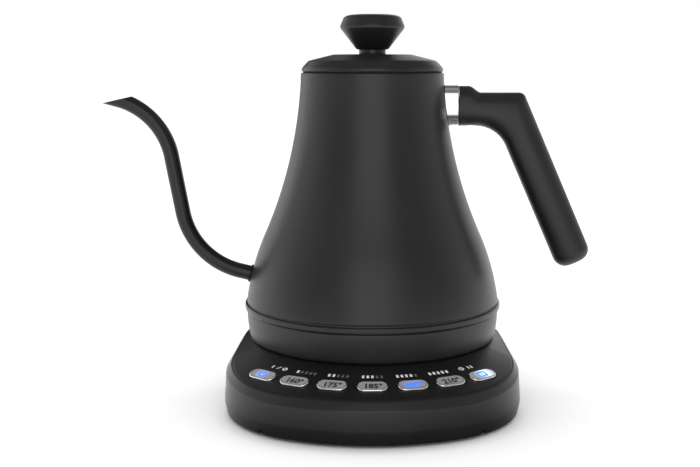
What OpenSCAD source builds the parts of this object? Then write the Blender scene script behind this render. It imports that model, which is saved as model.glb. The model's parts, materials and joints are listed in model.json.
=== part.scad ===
// Gooseneck electric kettle on a swivel power base with seven push buttons.
// The kettle's axis is the Z axis, the surface it stands on is z = 0, the spout points to -X,
// the handle to +X and the buttons to -Y. Sizes are millimetres.

/* [Power base] */
// Height of the seat that the kettle stands on
base_h = 34.5; // [33:0.5:42]
// Width of the sloping button panel, from the seat out to its front edge
panel_w = 34.7; // [32:0.1:40]
// Slope of the button panel below the seat, in degrees
panel_angle = 16.8; // [10:0.1:19]
// How far the panel reaches past the seat at the sides
side_margin = 7.3; // [5:0.1:9]
// How far the panel reaches past the seat at the back
rear_margin = 4.5; // [1.5:0.5:8]
// Plan radius of the base's front corners
corner_r = 62; // [55:1:65]
// How far the wall flares out past the panel edge at its widest
wall_flare = 3; // [2.2:0.2:5]
// Height of the widest line of the wall
flare_h = 10.4; // [8:0.2:12]
// How far the bevel under the panel edge stands out
bevel_out = 0.9; // [0.8:0.1:1.9]
// Height of the bevel under the panel edge
bevel_h = 3.2; // [2:0.2:4]
// Wall thickness of the base housing
base_wall = 2.4; // [2:0.1:3]
// Width of the housing's rim around the panel
rim_w = 0.6; // [0.4:0.1:1]
// Width of the ledge that carries the panel
ledge_w = 2.6; // [2:0.1:4]
// Thickness of the top cover
cover_t = 2.2; // [1.8:0.1:2.8]
// Thickness of the bottom plate
plate_t = 2.4; // [2.2:0.1:3.2]
// Radius of a rubber foot
foot_r = 6; // [4:0.5:8]
// How far a rubber foot stands below the bottom plate
foot_proud = 1; // [0.6:0.1:1.4]
// Depth of a foot's recess
foot_recess = 1; // [0.6:0.1:1.4]
// Radius of the bore in the cord inlet grommet
cord_bore_r = 3.6; // [3:0.1:4.5]

/* [Buttons] */
// Length of a button cap
cap_l = 16.5; // [14:0.1:16.8]
// Width of a button cap
cap_w = 9.1; // [7:0.1:10]
// Height of a cap above the panel
cap_proud = 1.2; // [0.8:0.1:2]
// Width of the bevel around a cap
cap_bevel = 0.6; // [0.3:0.1:0.7]
// Distance of the caps from the kettle's axis, measured from the seat's edge
cap_reach = 19.8; // [18:0.2:22]
// Angle between neighbouring caps, in degrees
cap_pitch = 13.1; // [12.9:0.1:14]
// Travel of a button
cap_travel = 0.6; // [0.3:0.1:0.8]
// Width of the lip that keeps a cap under the cover
cap_lip = 1.1; // [0.8:0.1:1.2]
// Length of the stem under a cap
stem_l = 4.4; // [3:0.2:5]

/* [Kettle body] */
// Height of the kettle from its lower edge to the lid seam
seam_h = 158.1; // [145:0.1:175]
// Outer radius at the lid seam
top_r = 42.4; // [38:0.2:48]
// Radius of the upper, hollow curve of the side
neck_curve_r = 266; // [240:2:300]
// Radius of the lower, full curve of the side
belly_curve_r = 146.5; // [130:0.5:170]
// Lean of the side at the lid seam, in degrees
top_lean = 2.6; // [1:0.1:4]
// Lean of the side where the two curves meet, in degrees
mid_lean = 24; // [21:0.5:26]
// Thickness of the steel shell
shell_t = 0.8; // [0.6:0.1:1.2]
// Width of the turned-in lip of the mouth
mouth_lip = 4.2; // [3.5:0.1:6]
// Thickness of the turned-in lip of the mouth
lip_t = 1; // [0.8:0.1:1.5]
// Depth of the collar that is turned down inside the mouth
collar_h = 9; // [8:0.5:10]
// Height of the trim band
band_h = 4.5; // [3:0.1:6]
// Height of the skirt under the trim band
skirt_h = 17.3; // [14:0.1:22]
// How far the trim band stands out past the body
band_proud = 1.1; // [0.8:0.1:2]
// Height of the shadow gap between the body and the trim band
band_gap = 0.8; // [0.4:0.1:1.2]
// How far the skirt's top lies in from the trim band
skirt_step = 1.2; // [0.8:0.1:2]
// How far the skirt's foot draws in
skirt_draw = 1.8; // [1:0.1:3]
// Thickness of the skirt
skirt_t = 2.2; // [1.8:0.1:3]
// Thickness of the heating plate
heat_plate_t = 2; // [1.5:0.1:3]

/* [Spout] */
// Outer diameter of the spout tube
spout_d = 8.7; // [8:0.1:10]
// Wall of the spout tube
spout_wall = 0.7; // [0.5:0.1:1]
// Height of the spout's root above the kettle's lower edge
spout_root_h = 37; // [33:0.5:42]
// Straight run at the root
root_run = 6.3; // [4.5:0.1:9]
// Radius of the lower bend
low_bend_r = 45.5; // [40:0.1:50]
// Climb of the spout's neck, in degrees
neck_climb = 80; // [75:1:85]
// Straight run of the neck
neck_run = 35; // [30:0.5:42]
// Radius of the upper bend
high_bend_r = 42.9; // [38:0.1:48]
// Climb at the tip, in degrees
tip_climb = 15; // [10:1:22]
// Straight run past the upper bend
tip_run = 8; // [6:0.5:11]
// Slope of the cut that opens the tip, in degrees
tip_cut = 13; // [10:0.5:16]
// Thickness of the collar at the spout's root
collar_t = 1.2; // [0.8:0.1:2]
// How far the collar stands out around the tube
collar_lip = 0.8; // [0.5:0.1:1.5]
// Thickness left at the lower lip of the tip
tip_lip = 0.3; // [0.2:0.1:0.5]

/* [Handle] */
// Drop from the lid seam to the top of the handle's root
handle_drop = 7.6; // [6:0.2:12]
// Height of the handle's root
root_h = 23.6; // [21:0.2:27]
// Length of the steel bracket, along its lower edge
bracket_l = 5.4; // [4:0.1:8]
// Width of the steel bracket, front to back
bracket_w = 18; // [15:0.5:18]
// Width of the grip, front to back
grip_w = 20; // [18:0.5:24]
// Thickness of the grip's sloping part
grip_t = 22.5; // [20:0.5:25]
// Lean of the sloping part from upright, in degrees
grip_lean = 23.8; // [20:0.2:28]
// Length of the grip's top, from the bracket to the outer corner
grip_top_l = 39.2; // [37:0.2:46]
// Drop from the lid seam to the grip's lowest point
grip_drop = 117.3; // [105:0.1:125]
// Step from the grip's collar down to its flat top
grip_step = 3.9; // [2.5:0.1:5]
// Length of the grip's collar
grip_collar_l = 7; // [5:0.5:9]
// Radius of the hollow curve under the grip
under_r = 24; // [18:1:28]
// Rounding of the grip's upper outer corner
grip_corner_r = 6; // [4:0.5:9]
// Rounding of the grip's end corners
grip_end_r = 6; // [4:0.5:8]
// Rounding of the grip's long edges
grip_edge_r = 7; // [4:0.5:8]

/* [Lid and knob] */
// Height of the lid's flat top above the seam
lid_h = 11.4; // [9:0.2:14]
// Height of the lid's steep outer bevel
lid_bevel_h = 7.2; // [5:0.2:8.5]
// Inset of the steep bevel
lid_bevel_in = 4.6; // [3:0.2:6]
// Radius of the lid's flat top
lid_flat_r = 25; // [20:0.5:30]
// Thickness of the lid's shell
lid_t = 1.6; // [1.2:0.1:2]
// Depth of the lid's plug in the mouth
plug_h = 12; // [10:0.5:16]
// Wall of the lid's steel pan
pan_t = 0.8; // [0.6:0.1:1.2]
// Radial width of the lid seal
seal_w = 2.2; // [1.6:0.1:2.4]
// Height of the lid seal
seal_h = 4; // [3:0.5:6]
// Radius of the knob's neck
neck_r = 7.9; // [6:0.1:9]
// Height of the knob's neck
neck_h = 2.9; // [2:0.1:5]
// Largest radius of the knob
knob_r = 19.1; // [17:0.1:23]
// Radius of the knob's underside
knob_foot_r = 9.4; // [9.2:0.1:12]
// Height of the knob's lower cone
knob_cone_h = 12.6; // [10:0.1:16]
// Height of the knob's upper part
knob_crown_h = 7.1; // [6:0.1:9]
// Radius of the knob's flat top
knob_flat_r = 10.3; // [8:0.1:11.5]

/* [Connector] */
// Radius of the connector post on the base
post_r = 13; // [12.5:0.5:15]
// Height of the connector post above the seat
post_h = 14; // [11:0.5:15]
// How far the connector post reaches below the seat
post_root = 22; // [18:0.5:24]
// Width of the moat round the connector post
moat_w = 2.3; // [1.5:0.1:3]
// Wall of the kettle's connector socket
socket_wall = 4; // [3:0.5:5]
// Thickness of the kettle's bottom cover
bottom_t = 1.8; // [1.5:0.1:2.5]
// Height of the bottom cover above the kettle's lower edge
bottom_lift = 2; // [1.5:0.1:3]
// Radius of the heating element's ring
element_r = 42; // [38:1:50]
// Radius of the heating element's tube
element_tube_r = 3.2; // [2.5:0.1:3.6]

/* [Fits and fasteners] */
// Gap between pieces that lift apart
rest_gap = 0.3; // [0.2:0.05:0.4]
// Side clearance between pieces that move past each other
side_gap = 0.3; // [0.2:0.05:0.4]
// Clearance between pieces that are fixed together
fit_gap = 0.05; // [0.03:0.01:0.1]
// Radius of the case screws' shanks
screw_r = 1.5; // [1.25:0.05:1.75]
// Radius of the case screws' heads
head_r = 2.8; // [2.5:0.1:3.2]
// Height of the case screws' heads
head_h = 1.4; // [1:0.1:1.6]
// Thickness of the circuit boards
board_t = 1.6; // [1.2:0.1:2]

/* [Hidden] */
$fn = 96;
eps = 0.01;

// Kettle: radii of the side, and the heights that follow from them, above the kettle's lower edge
kettle_z = base_h + rest_gap;
body_bottom_h = skirt_h + band_h;
body_len = seam_h - body_bottom_h;
mouth_r = top_r - mouth_lip;
curve_join = neck_curve_r * (sin(mid_lean) - sin(top_lean));
curve_join_r = top_r + neck_curve_r * (cos(top_lean) - cos(mid_lean));
neck_steps = 16;
belly_steps = 10;
body_foot_r = side_radius(body_len);
band_r = body_foot_r + band_proud;
skirt_top_r = band_r - skirt_step;
skirt_foot_r = skirt_top_r - skirt_draw;
skirt_inner_r = skirt_foot_r - skirt_t;

// Base: plan outline of the panel edge is a front arc, two corner arcs and a rear arc
seat_margin = 0.4;
seat_r = skirt_foot_r + seat_margin;
front_r = seat_r + panel_w;
half_w = seat_r + side_margin;
rear_r = seat_r + rear_margin;
corner_x = half_w - corner_r;
corner_reach = front_r - corner_r;
corner_y = sqrt(corner_reach * corner_reach - corner_x * corner_x);
front_turn = asin(corner_x / corner_reach);
side_turn = atan2(corner_y, -corner_x) - acos((corner_r - rear_r) / corner_reach);
panel_slope = tan(panel_angle);
plate_top = foot_proud + plate_t;
plate_draw = -1.2;
parting_out = 1.9;
cover_edge = -rim_w - side_gap;
ledge_t = 2;
ledge_drop = cover_t + fit_gap;
wall_top_in = bevel_out - base_wall;

// Buttons: the caps stand on an arc round the kettle's axis and travel straight down
cap_ring_r = seat_r + cap_reach;
cap_z = panel_height(cap_ring_r);
cap_edge = 0.15;
cap_flange_t = 1;
cap_flange_gap = 0.5;
flange_z = cap_z - cover_t - cap_flange_gap - cap_flange_t;
stem_r = 2;
stem_foot = flange_z - stem_l;
switch_w = 6;
switch_h = 3.5;
plunger_r = 1.7;
plunger_h = 1.5;
press_gap = 0.1;
board_z = stem_foot - cap_travel - press_gap - plunger_h - switch_h - board_t;

// Temperature probe, which stands up through the heating plate
probe_r = 2.5;
probe_reach = 12;
probe_below = 6;
probe_offset = 10;
probe_seal_w = 2.5;
probe_seal_h = 2;

// Connector
socket_bore_r = post_r + side_gap;
socket_r = socket_bore_r + socket_wall;
socket_top = body_bottom_h - rest_gap;
socket_headroom = 0.8;
socket_depth = post_h - rest_gap + socket_headroom;
post_flange_t = 2;
post_flange_w = 6;
socket_flange_t = 1.5;
socket_flange_w = 2;
groove_in_r = 6.4;
groove_out_r = 9;
pin_bore_r = 3;
groove_depth = 9;
contact_gap = 0.9;
pin_gap = 1.4;

// Fasteners
boss_wall = 2.2;
boss_r = screw_r + boss_wall;
head_sink = 0.2;
head_seat = foot_proud + head_h + head_sink;
foot_margin = 5;
foot_inset = foot_r + foot_margin;
foot_spots = [for (a = [-35, -145, 40, 140]) rim_point(a, -foot_inset)];
boss_margin = 1.6;
boss_inset = head_r + boss_margin;
boss_turns = [-55, -125, 62, 118];
base_boss_top = 12;
blind_end = 1.5;
cover_boss_ring = skirt_inner_r - head_r - side_gap;
cover_screw_turns = [30, 150, 270];
cover_boss_z = bottom_lift + bottom_t;
cover_boss_drop = 2;
cover_boss_top = skirt_h - cover_boss_drop;
control_board_in = 8;
control_board_w = 17;
control_board_turn = 49;
control_post_turn = 46;
control_post_in = 4.5;
control_post_ring = seat_r + control_board_in + control_post_in;
control_post_spots = [for (a = [-1, 0, 1]) polar(control_post_ring, a * control_post_turn - 90)];
power_board_lift = 5.6;
power_board_z = plate_top + power_board_lift;
power_board_l = 52;
power_board_w = 34;
power_board_y = 42;
power_board_edge = 4;
power_post_spots = [for (sx = [-1, 1]) for (sy = [-1, 1]) [
    sx * (power_board_l / 2 - power_board_edge), power_board_y + sy * (power_board_w / 2 - power_board_edge)]];
board_post_r = 3;
board_screw_r = 1.2;
board_screw_l = 4;
board_head_r = 2.2;
board_head_h = 1.2;
light_l = 3;
light_w = 2;
light_h = 1.2;
relay_l = 19;
relay_w = 15;
relay_h = 14;
buzzer_r = 3.2;
buzzer_bore_r = 0.8;
buzzer_h = 5;

// Cord inlet: a grommet in the back wall, halfway up
grommet_wall = 2;
grommet_neck_r = cord_bore_r + grommet_wall;
grommet_lip = 1.2;
grommet_lip_t = 1.5;
grommet_proud = 0.2;
grommet_inner = wall_top_in - side_gap;
grommet_z = (flare_h + panel_height(rear_r) - ledge_drop - 2 * ledge_t) / 2;

// Spout: a tube of two straight runs and two bends, which leaves square to the body's side
tube_r = spout_d / 2;
spout_root_r = side_radius(seam_h - spout_root_h) + collar_t;
root_climb = side_lean(seam_h - spout_root_h);
collar_gap = 0.12;
spout_inlet = 1.5;

// Grip: heights from the lid seam, distances from the kettle's axis
grip_start = side_radius(handle_drop + root_h) + bracket_l;
grip_reach = grip_start + grip_top_l;
grip_top = -handle_drop - grip_step;
grip_bottom = -handle_drop - root_h;
grip_end_z = -grip_drop - grip_end_r * (cos(grip_lean) + sin(grip_lean) - 1);
grip_len = (grip_top - grip_end_z - grip_t * sin(grip_lean)) / cos(grip_lean);
grip_skew = grip_t / cos(grip_lean);
tongue_l = 15;
tongue_h = 11;
tongue_w = 9;
tongue_z = -handle_drop - root_h / 2;
handle_screw_x = grip_start + tongue_l / 2;
handle_screw_sink = 0.6;
handle_screw_tip = 1;

// Lid
lid_rim_r = top_r - side_gap;
lid_edge_h = 0.9;
lid_edge_in = 0.5;
pan_r = mouth_r - side_gap - seal_w;
pan_flange_top = rest_gap + pan_t;

function polar(r, a) = [r * cos(a), r * sin(a)];

// Outer radius of the kettle's side at a depth below the lid seam: a hollow arc, then a full one
function side_radius(depth) = depth <= curve_join
    ? top_r + neck_curve_r * (cos(top_lean) - cos(asin(sin(top_lean) + depth / neck_curve_r)))
    : curve_join_r + belly_curve_r
        * (cos(asin(sin(mid_lean) - (depth - curve_join) / belly_curve_r)) - cos(mid_lean));

// Lean of the kettle's side from upright at a depth below the lid seam
function side_lean(depth) = depth <= curve_join
    ? asin(sin(top_lean) + depth / neck_curve_r)
    : asin(sin(mid_lean) - (depth - curve_join) / belly_curve_r);

// Points down the kettle's side from one depth to another, moved in by a wall
function side_points(from, to, wall) = concat(
    [for (i = [0 : neck_steps]) let (d = from + (curve_join - from) * i / neck_steps)
        [side_radius(d) - wall, seam_h - d]],
    [for (i = [1 : belly_steps]) let (d = curve_join + (to - curve_join) * i / belly_steps)
        [side_radius(d) - wall, seam_h - d]]
);

function reversed(list) = [for (i = [len(list) - 1 : -1 : 0]) list[i]];

// Height of the seat and of the cone that slopes away from it
function panel_height(r) = base_h - panel_slope * max(r - seat_r, 0);

// A point of the base's outline where its side faces the direction a, moved out by d
function rim_point(a, d) =
    abs(a + 90) <= front_turn ? polar(front_r + d, a)
    : a > -90 && a < side_turn ? [corner_x, -corner_y] + polar(corner_r + d, a)
    : a < -90 && a > -180 - side_turn ? [-corner_x, -corner_y] + polar(corner_r + d, a)
    : polar(rear_r + d, a);

function arc(centre, r, a0, a1, first, count) =
    [for (i = [first : count]) centre + polar(r, a0 + (a1 - a0) * i / count)];

// The base's outline moved out by d, starting at the front left and running round to the right
function outline(d) = concat(
    arc([0, 0], front_r + d, -90 - front_turn, -90 + front_turn, 0, 14),
    arc([corner_x, -corner_y], corner_r + d, -90 + front_turn, side_turn, 1, 12),
    arc([0, 0], rear_r + d, side_turn, 180 - side_turn, 0, 36),
    arc([-corner_x, -corner_y], corner_r + d, 180 - side_turn, 270 - front_turn, 0, 11)
);

// Rings of points for the base's shells: level, and parallel to the panel
function level_ring(d, z) = [for (p = outline(d)) [p[0], p[1], z]];
function panel_ring(d, drop) = [for (p = outline(d)) [p[0], p[1], panel_height(norm(p)) - drop]];
function circle_ring(r, z) = [for (p = outline(0)) let (u = p / norm(p)) [r * u[0], r * u[1], z]];

// A closed band of rings, each joined to the next and the last to the first
module ring_band(rings) {
    n = len(rings[0]);
    m = len(rings);
    points = [for (r = rings) each r];
    faces = [for (i = [0 : m - 1]) for (j = [0 : n - 1])
        let (a = i * n + j, b = i * n + (j + 1) % n, c = ((i + 1) % m) * n + (j + 1) % n, d = ((i + 1) % m) * n + j)
        each [[a, c, b], [a, d, c]]];
    polyhedron(points, faces);
}

// A stack of rings with a flat floor and a flat top
module ring_stack(rings) {
    n = len(rings[0]);
    m = len(rings);
    points = [for (r = rings) each r];
    sides = [for (i = [0 : m - 2]) for (j = [0 : n - 1])
        let (a = i * n + j, b = i * n + (j + 1) % n, c = (i + 1) * n + (j + 1) % n, d = (i + 1) * n + j)
        each [[a, c, b], [a, d, c]]];
    floor_face = [for (j = [0 : n - 1]) j];
    top_face = [for (j = [n - 1 : -1 : 0]) (m - 1) * n + j];
    polyhedron(points, concat(sides, [floor_face, top_face]));
}

module at_kettle() {
    translate([0, 0, kettle_z]) children();
}

module at_seam() {
    translate([0, 0, kettle_z + seam_h]) children();
}

module tube(outer, inner, h) {
    difference() {
        cylinder(r = outer, h = h);
        translate([0, 0, -1]) cylinder(r = inner, h = h + 2);
    }
}

// A flat shape with two round ends, lying along X
module pill(l, w) {
    square([l - w, w], center = true);
    for (s = [-1, 1]) translate([s * (l - w) / 2, 0]) circle(d = w);
}

// ---------------------------------------------------------------- kettle

module body_solid(wall) {
    rotate_extrude() polygon(concat([[0, seam_h]], side_points(0, body_len, wall), [[0, body_bottom_h]]));
}

module kettle_body() {
    outer = side_points(0, body_len, 0);
    inner = side_points(lip_t, body_len, shell_t);
    color("#2c2c2e") at_kettle() difference() {
        rotate_extrude() polygon(concat(
            [[mouth_r, seam_h]], outer, reversed(inner),
            [[mouth_r + shell_t, seam_h - lip_t], [mouth_r + shell_t, seam_h - collar_h],
                [mouth_r, seam_h - collar_h]]));
        spout_root() translate([0, 0, -4 * tube_r]) cylinder(r = tube_r + fit_gap, h = 6 * tube_r);
    }
}

module body_trim_ring() {
    bevel = 0.6;
    lip_h = band_h - band_gap;
    seat_out = body_foot_r - shell_t / 2;
    color("#242426") at_kettle() translate([0, 0, skirt_h]) rotate_extrude() polygon([
        [skirt_inner_r, 0], [band_r - bevel, 0], [band_r, bevel], [band_r, lip_h - bevel],
        [band_r - bevel, lip_h], [seat_out, lip_h], [seat_out, band_h], [skirt_inner_r, band_h]]);
}

module bottom_skirt() {
    steps = 8;
    side = [for (i = [0 : steps]) let (t = i / steps)
        [skirt_foot_r + skirt_draw * (1 - (1 - t) * (1 - t)), skirt_h * t]];
    color("#2c2c2e") at_kettle() difference() {
        union() {
            rotate_extrude() polygon(concat(side, [[skirt_inner_r, skirt_h], [skirt_inner_r, 0]]));
            for (a = cover_screw_turns) rotate([0, 0, a]) translate([cover_boss_ring, 0, cover_boss_z])
                cylinder(r = boss_r, h = cover_boss_top - cover_boss_z);
        }
        for (a = cover_screw_turns) rotate([0, 0, a]) translate([cover_boss_ring, 0, 0])
            cylinder(r = screw_r + fit_gap, h = cover_boss_top - blind_end);
    }
}

module heating_plate() {
    color("#b9babd") at_kettle() difference() {
        intersection() {
            translate([0, 0, body_bottom_h]) cylinder(r = body_foot_r, h = heat_plate_t);
            body_solid(shell_t + fit_gap);
        }
        probe_place() cylinder(r = probe_r + side_gap, h = 10, center = true);
    }
}

module probe_place() {
    translate([0, socket_r + probe_offset, body_bottom_h + heat_plate_t / 2]) children();
}

module temperature_probe() {
    shaft_l = probe_below + heat_plate_t + probe_reach - probe_r;
    color("#c4c5c8") at_kettle() probe_place() translate([0, 0, -heat_plate_t / 2 - probe_below]) {
        cylinder(r = probe_r, h = shaft_l);
        translate([0, 0, shaft_l]) sphere(r = probe_r);
    }
}

module probe_seal() {
    color("#d8d4cc") at_kettle() probe_place() translate([0, 0, heat_plate_t / 2])
        tube(probe_r + probe_seal_w, probe_r + fit_gap, probe_seal_h);
}

module heating_element() {
    open_turn = 40;
    pin_r = 1.6;
    pin_l = 7;
    height = body_bottom_h - element_tube_r - fit_gap;
    color("#8d8f92") at_kettle() translate([0, 0, height]) {
        rotate([0, 0, -90 + open_turn / 2]) rotate_extrude(angle = 360 - open_turn)
            translate([element_r, 0]) circle(r = element_tube_r);
        for (s = [-1, 1]) rotate([0, 0, -90 + s * (open_turn / 2 + 3)])
            translate([element_r, 0, -element_tube_r - pin_l]) cylinder(r = pin_r, h = pin_l + element_tube_r);
    }
}

module boil_dry_cutout() {
    cutout_r = 6;
    cutout_h = 4;
    color("#4a4038") at_kettle() for (s = [-1, 1])
        translate([s * (socket_r + 1 + cutout_r), 0, body_bottom_h - cutout_h - fit_gap])
            cylinder(r = cutout_r, h = cutout_h);
}

module kettle_bottom_cover() {
    color("#202022") at_kettle() difference() {
        translate([0, 0, bottom_lift]) tube(skirt_inner_r - fit_gap, socket_r + side_gap, bottom_t);
        for (a = cover_screw_turns) rotate([0, 0, a]) translate([cover_boss_ring, 0, 0])
            cylinder(r = screw_r + fit_gap, h = cover_boss_z + 1);
    }
}

module case_screw(l) {
    translate([0, 0, -head_h / 2]) cylinder(r = screw_r, h = l + head_h / 2);
    translate([0, 0, -head_h]) cylinder(r = head_r, h = head_h);
}

module bottom_cover_screws() {
    color("#9a9b9d") at_kettle() for (a = cover_screw_turns) rotate([0, 0, a])
        translate([cover_boss_ring, 0, bottom_lift])
            case_screw(cover_boss_top - 2 * blind_end - bottom_lift);
}

module connector_socket() {
    color("#1c1c1e") at_kettle() difference() {
        union() {
            translate([0, 0, bottom_lift]) cylinder(r = socket_r, h = socket_top - bottom_lift);
            translate([0, 0, cover_boss_z + rest_gap])
                cylinder(r = socket_r + socket_flange_w, h = socket_flange_t);
        }
        translate([0, 0, -1]) cylinder(r = socket_bore_r, h = socket_depth + 1);
    }
}

module socket_contacts() {
    pin_r = pin_bore_r - pin_gap;
    ring_out = groove_out_r - contact_gap;
    ring_in = groove_in_r + contact_gap;
    color("#c9a24a") at_kettle() translate([0, 0, socket_depth - groove_depth + 1]) {
        cylinder(r = pin_r, h = groove_depth - 1);
        tube(ring_out, ring_in, groove_depth - 1);
    }
}

// ---------------------------------------------------------------- spout

// Frame at the spout's root: Z points along the tube, away from the body
module spout_root() {
    translate([-spout_root_r, 0, spout_root_h]) rotate([0, -90 + root_climb, 0]) children();
}

// A straight run of the tube, and whatever follows it
module tube_run(r, l) {
    cylinder(r = r, h = l);
    translate([0, 0, l]) children();
}

// A bend of the tube towards local +X (positive) or -X (negative), and whatever follows it.
// Short plugs inside the wall tie it to the runs before and after it.
module tube_bend(r, bend_r, turn) {
    side = turn > 0 ? 1 : -1;
    plug_r = r - spout_wall / 2;
    cylinder(r = plug_r, h = 1, center = true);
    translate([side * bend_r, 0, 0]) rotate([90, 0, 0]) rotate([0, 0, side > 0 ? 180 - turn : 0])
        rotate_extrude(angle = abs(turn)) translate([bend_r, 0]) circle(r = r);
    translate([side * bend_r, 0, 0]) rotate([0, turn, 0]) translate([-side * bend_r, 0, 0]) {
        cylinder(r = plug_r, h = 1, center = true);
        children();
    }
}

module spout_core(r, inlet, extra) {
    spout_root() translate([0, 0, -inlet]) tube_run(r, root_run + inlet)
        tube_bend(r, low_bend_r, neck_climb - root_climb)
            tube_run(r, neck_run)
                tube_bend(r, high_bend_r, tip_climb - neck_climb)
                    tube_run(r, tip_run + extra);
}

// Where the tube's upper corner is cut, from the bends' own geometry
function bend_out(r, a0, a1) = r * (sin(a1) - sin(a0));
function bend_up(r, a0, a1) = r * (cos(a0) - cos(a1));
neck_foot_x = spout_root_r + root_run * cos(root_climb) + bend_out(low_bend_r, root_climb, neck_climb);
neck_foot_z = spout_root_h + root_run * sin(root_climb) + bend_up(low_bend_r, root_climb, neck_climb);
neck_head_x = neck_foot_x + neck_run * cos(neck_climb);
neck_head_z = neck_foot_z + neck_run * sin(neck_climb);
tip_x = neck_head_x + bend_out(high_bend_r, tip_climb, neck_climb) + tip_run * cos(tip_climb);
tip_z = neck_head_z + bend_up(high_bend_r, tip_climb, neck_climb) + tip_run * sin(tip_climb);
lip_x = tip_x + tube_r * sin(tip_climb);
lip_z = tip_z - tube_r * cos(tip_climb);

module spout_tube() {
    inlet = collar_t + shell_t + spout_inlet;
    cut = low_bend_r;
    color("#2c2c2e") at_kettle() difference() {
        spout_core(tube_r, inlet, 0);
        spout_core(tube_r - spout_wall, inlet + 1, 1);
        translate([-lip_x, 0, lip_z]) rotate([0, -tip_cut, 0])
            translate([-cut / 2, -cut / 2, tip_lip]) cube([2 * cut, cut, cut]);
    }
}

module spout_collar() {
    color("#1f1f21") at_kettle() spout_root() translate([0, 0, collar_gap - collar_t])
        tube(tube_r + collar_lip, tube_r + fit_gap, collar_t - collar_gap);
}

// ---------------------------------------------------------------- handle

module root_section(h, w, r) {
    square([h - 2 * r, w], center = true);
    square([h, w - 2 * r], center = true);
    for (sx = [-1, 1]) for (sy = [-1, 1])
        translate([sx * (h / 2 - r), sy * (w / 2 - r)]) circle(r = r);
}

module handle_bracket() {
    inset = 0.2;
    color("#c9cacc") at_seam() difference() {
        union() {
            translate([0, 0, tongue_z]) rotate([0, 90, 0]) linear_extrude(grip_start - fit_gap)
                root_section(root_h - 2 * inset, bracket_w, 7);
            translate([grip_start - 1, 0, tongue_z]) rotate([0, 90, 0]) linear_extrude(tongue_l + 1)
                root_section(tongue_h, tongue_w, 2);
        }
        translate([0, 0, -seam_h]) body_solid(-fit_gap);
        translate([handle_screw_x, 0, tongue_z]) cylinder(r = screw_r + fit_gap, h = 2 * tongue_h, center = true);
    }
}

// Side outline of the grip from the distance from outwards, X away from the kettle and Y up from the lid seam
function grip_outline_points(from) = let (
    top_corner = [grip_reach, grip_top],
    down = [sin(grip_lean), -cos(grip_lean)],
    end_out = top_corner + grip_len * down,
    inner_top = [grip_reach - grip_skew, grip_top],
    across = [-cos(grip_lean), -sin(grip_lean)],
    end_mid = end_out + grip_t * across,
    knee = inner_top + (grip_top - grip_bottom) / cos(grip_lean) * down,
    set_back = under_r * tan((90 - grip_lean) / 2),
    under_start = [knee[0] - set_back, grip_bottom],
    under_centre = [knee[0] - set_back, grip_bottom - under_r]
) concat(
    [[from, grip_bottom], [from, -handle_drop], [grip_start + grip_collar_l, -handle_drop]],
    [for (i = [1 : 7]) let (t = i / 8)
        [grip_start + grip_collar_l + 2 * grip_step * t, -handle_drop - grip_step * (1 - cos(180 * t)) / 2]],
    [[grip_start + grip_collar_l + 2 * grip_step, grip_top]],
    arc([grip_reach - grip_corner_r * tan((90 - grip_lean) / 2), grip_top - grip_corner_r],
        grip_corner_r, 90, grip_lean, 0, 6),
    arc(end_out - grip_end_r * down + grip_end_r * across, grip_end_r, grip_lean, grip_lean - 90, 0, 6),
    arc(end_mid - grip_end_r * down - grip_end_r * across, grip_end_r, grip_lean - 90, grip_lean - 180, 0, 6),
    reversed(arc(under_centre, under_r, 90, grip_lean, 0, 9))
);

// The grip with its long edges rounded; it starts further in, so that its inner end can be cut square
module grip_form() {
    inner_end = grip_start - 2 * grip_edge_r;
    minkowski() {
        rotate([90, 0, 0]) linear_extrude(height = grip_w - 2 * grip_edge_r, center = true)
            offset(delta = -grip_edge_r) polygon(grip_outline_points(inner_end));
        sphere(r = grip_edge_r, $fn = 20);
    }
}

module handle_grip() {
    color("#2e2e30") at_seam() difference() {
        intersection() {
            rotate([90, 0, 0]) linear_extrude(height = grip_w, center = true)
                polygon(grip_outline_points(grip_start));
            grip_form();
        }
        translate([grip_start - 1, 0, tongue_z]) rotate([0, 90, 0])
            linear_extrude(tongue_l + 1 + side_gap) root_section(tongue_h + 2 * side_gap, tongue_w + 2 * side_gap, 2);
        translate([handle_screw_x, 0, grip_bottom - 1]) cylinder(r = screw_r + fit_gap, h = root_h / 2);
        translate([handle_screw_x, 0, grip_bottom - 1])
            cylinder(r = head_r + side_gap, h = 1 + head_h + handle_screw_sink);
    }
}

module handle_screw() {
    seat_z = grip_bottom + head_h + handle_screw_sink;
    color("#9a9b9d") at_seam() translate([handle_screw_x, 0, seat_z])
        case_screw(tongue_z + tongue_h / 2 - handle_screw_tip - seat_z);
}

// ---------------------------------------------------------------- lid

module lid_shell() {
    inner_r = lid_rim_r - lid_t;
    color("#29292b") at_seam() difference() {
        rotate_extrude() polygon([
            [0, rest_gap], [lid_rim_r - lid_edge_in, rest_gap], [lid_rim_r, lid_edge_h],
            [lid_rim_r - lid_bevel_in, lid_bevel_h], [lid_flat_r, lid_h], [0, lid_h]]);
        rotate_extrude() polygon([
            [0, 0], [inner_r, 0], [inner_r, pan_flange_top + fit_gap],
            [inner_r - lid_bevel_in, lid_bevel_h - lid_t / 2], [lid_flat_r, lid_h - lid_t], [0, lid_h - lid_t]]);
        cylinder(r = screw_r + fit_gap, h = lid_h + 1);
    }
}

module lid_pan() {
    color("#c0c1c4") at_seam() difference() {
        union() {
            translate([0, 0, -plug_h]) cylinder(r = pan_r, h = plug_h + pan_flange_top);
            translate([0, 0, rest_gap]) cylinder(r = lid_rim_r - lid_t - fit_gap, h = pan_t);
        }
        translate([0, 0, -plug_h + pan_t]) cylinder(r = pan_r - pan_t, h = plug_h + pan_flange_top);
    }
}

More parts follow.
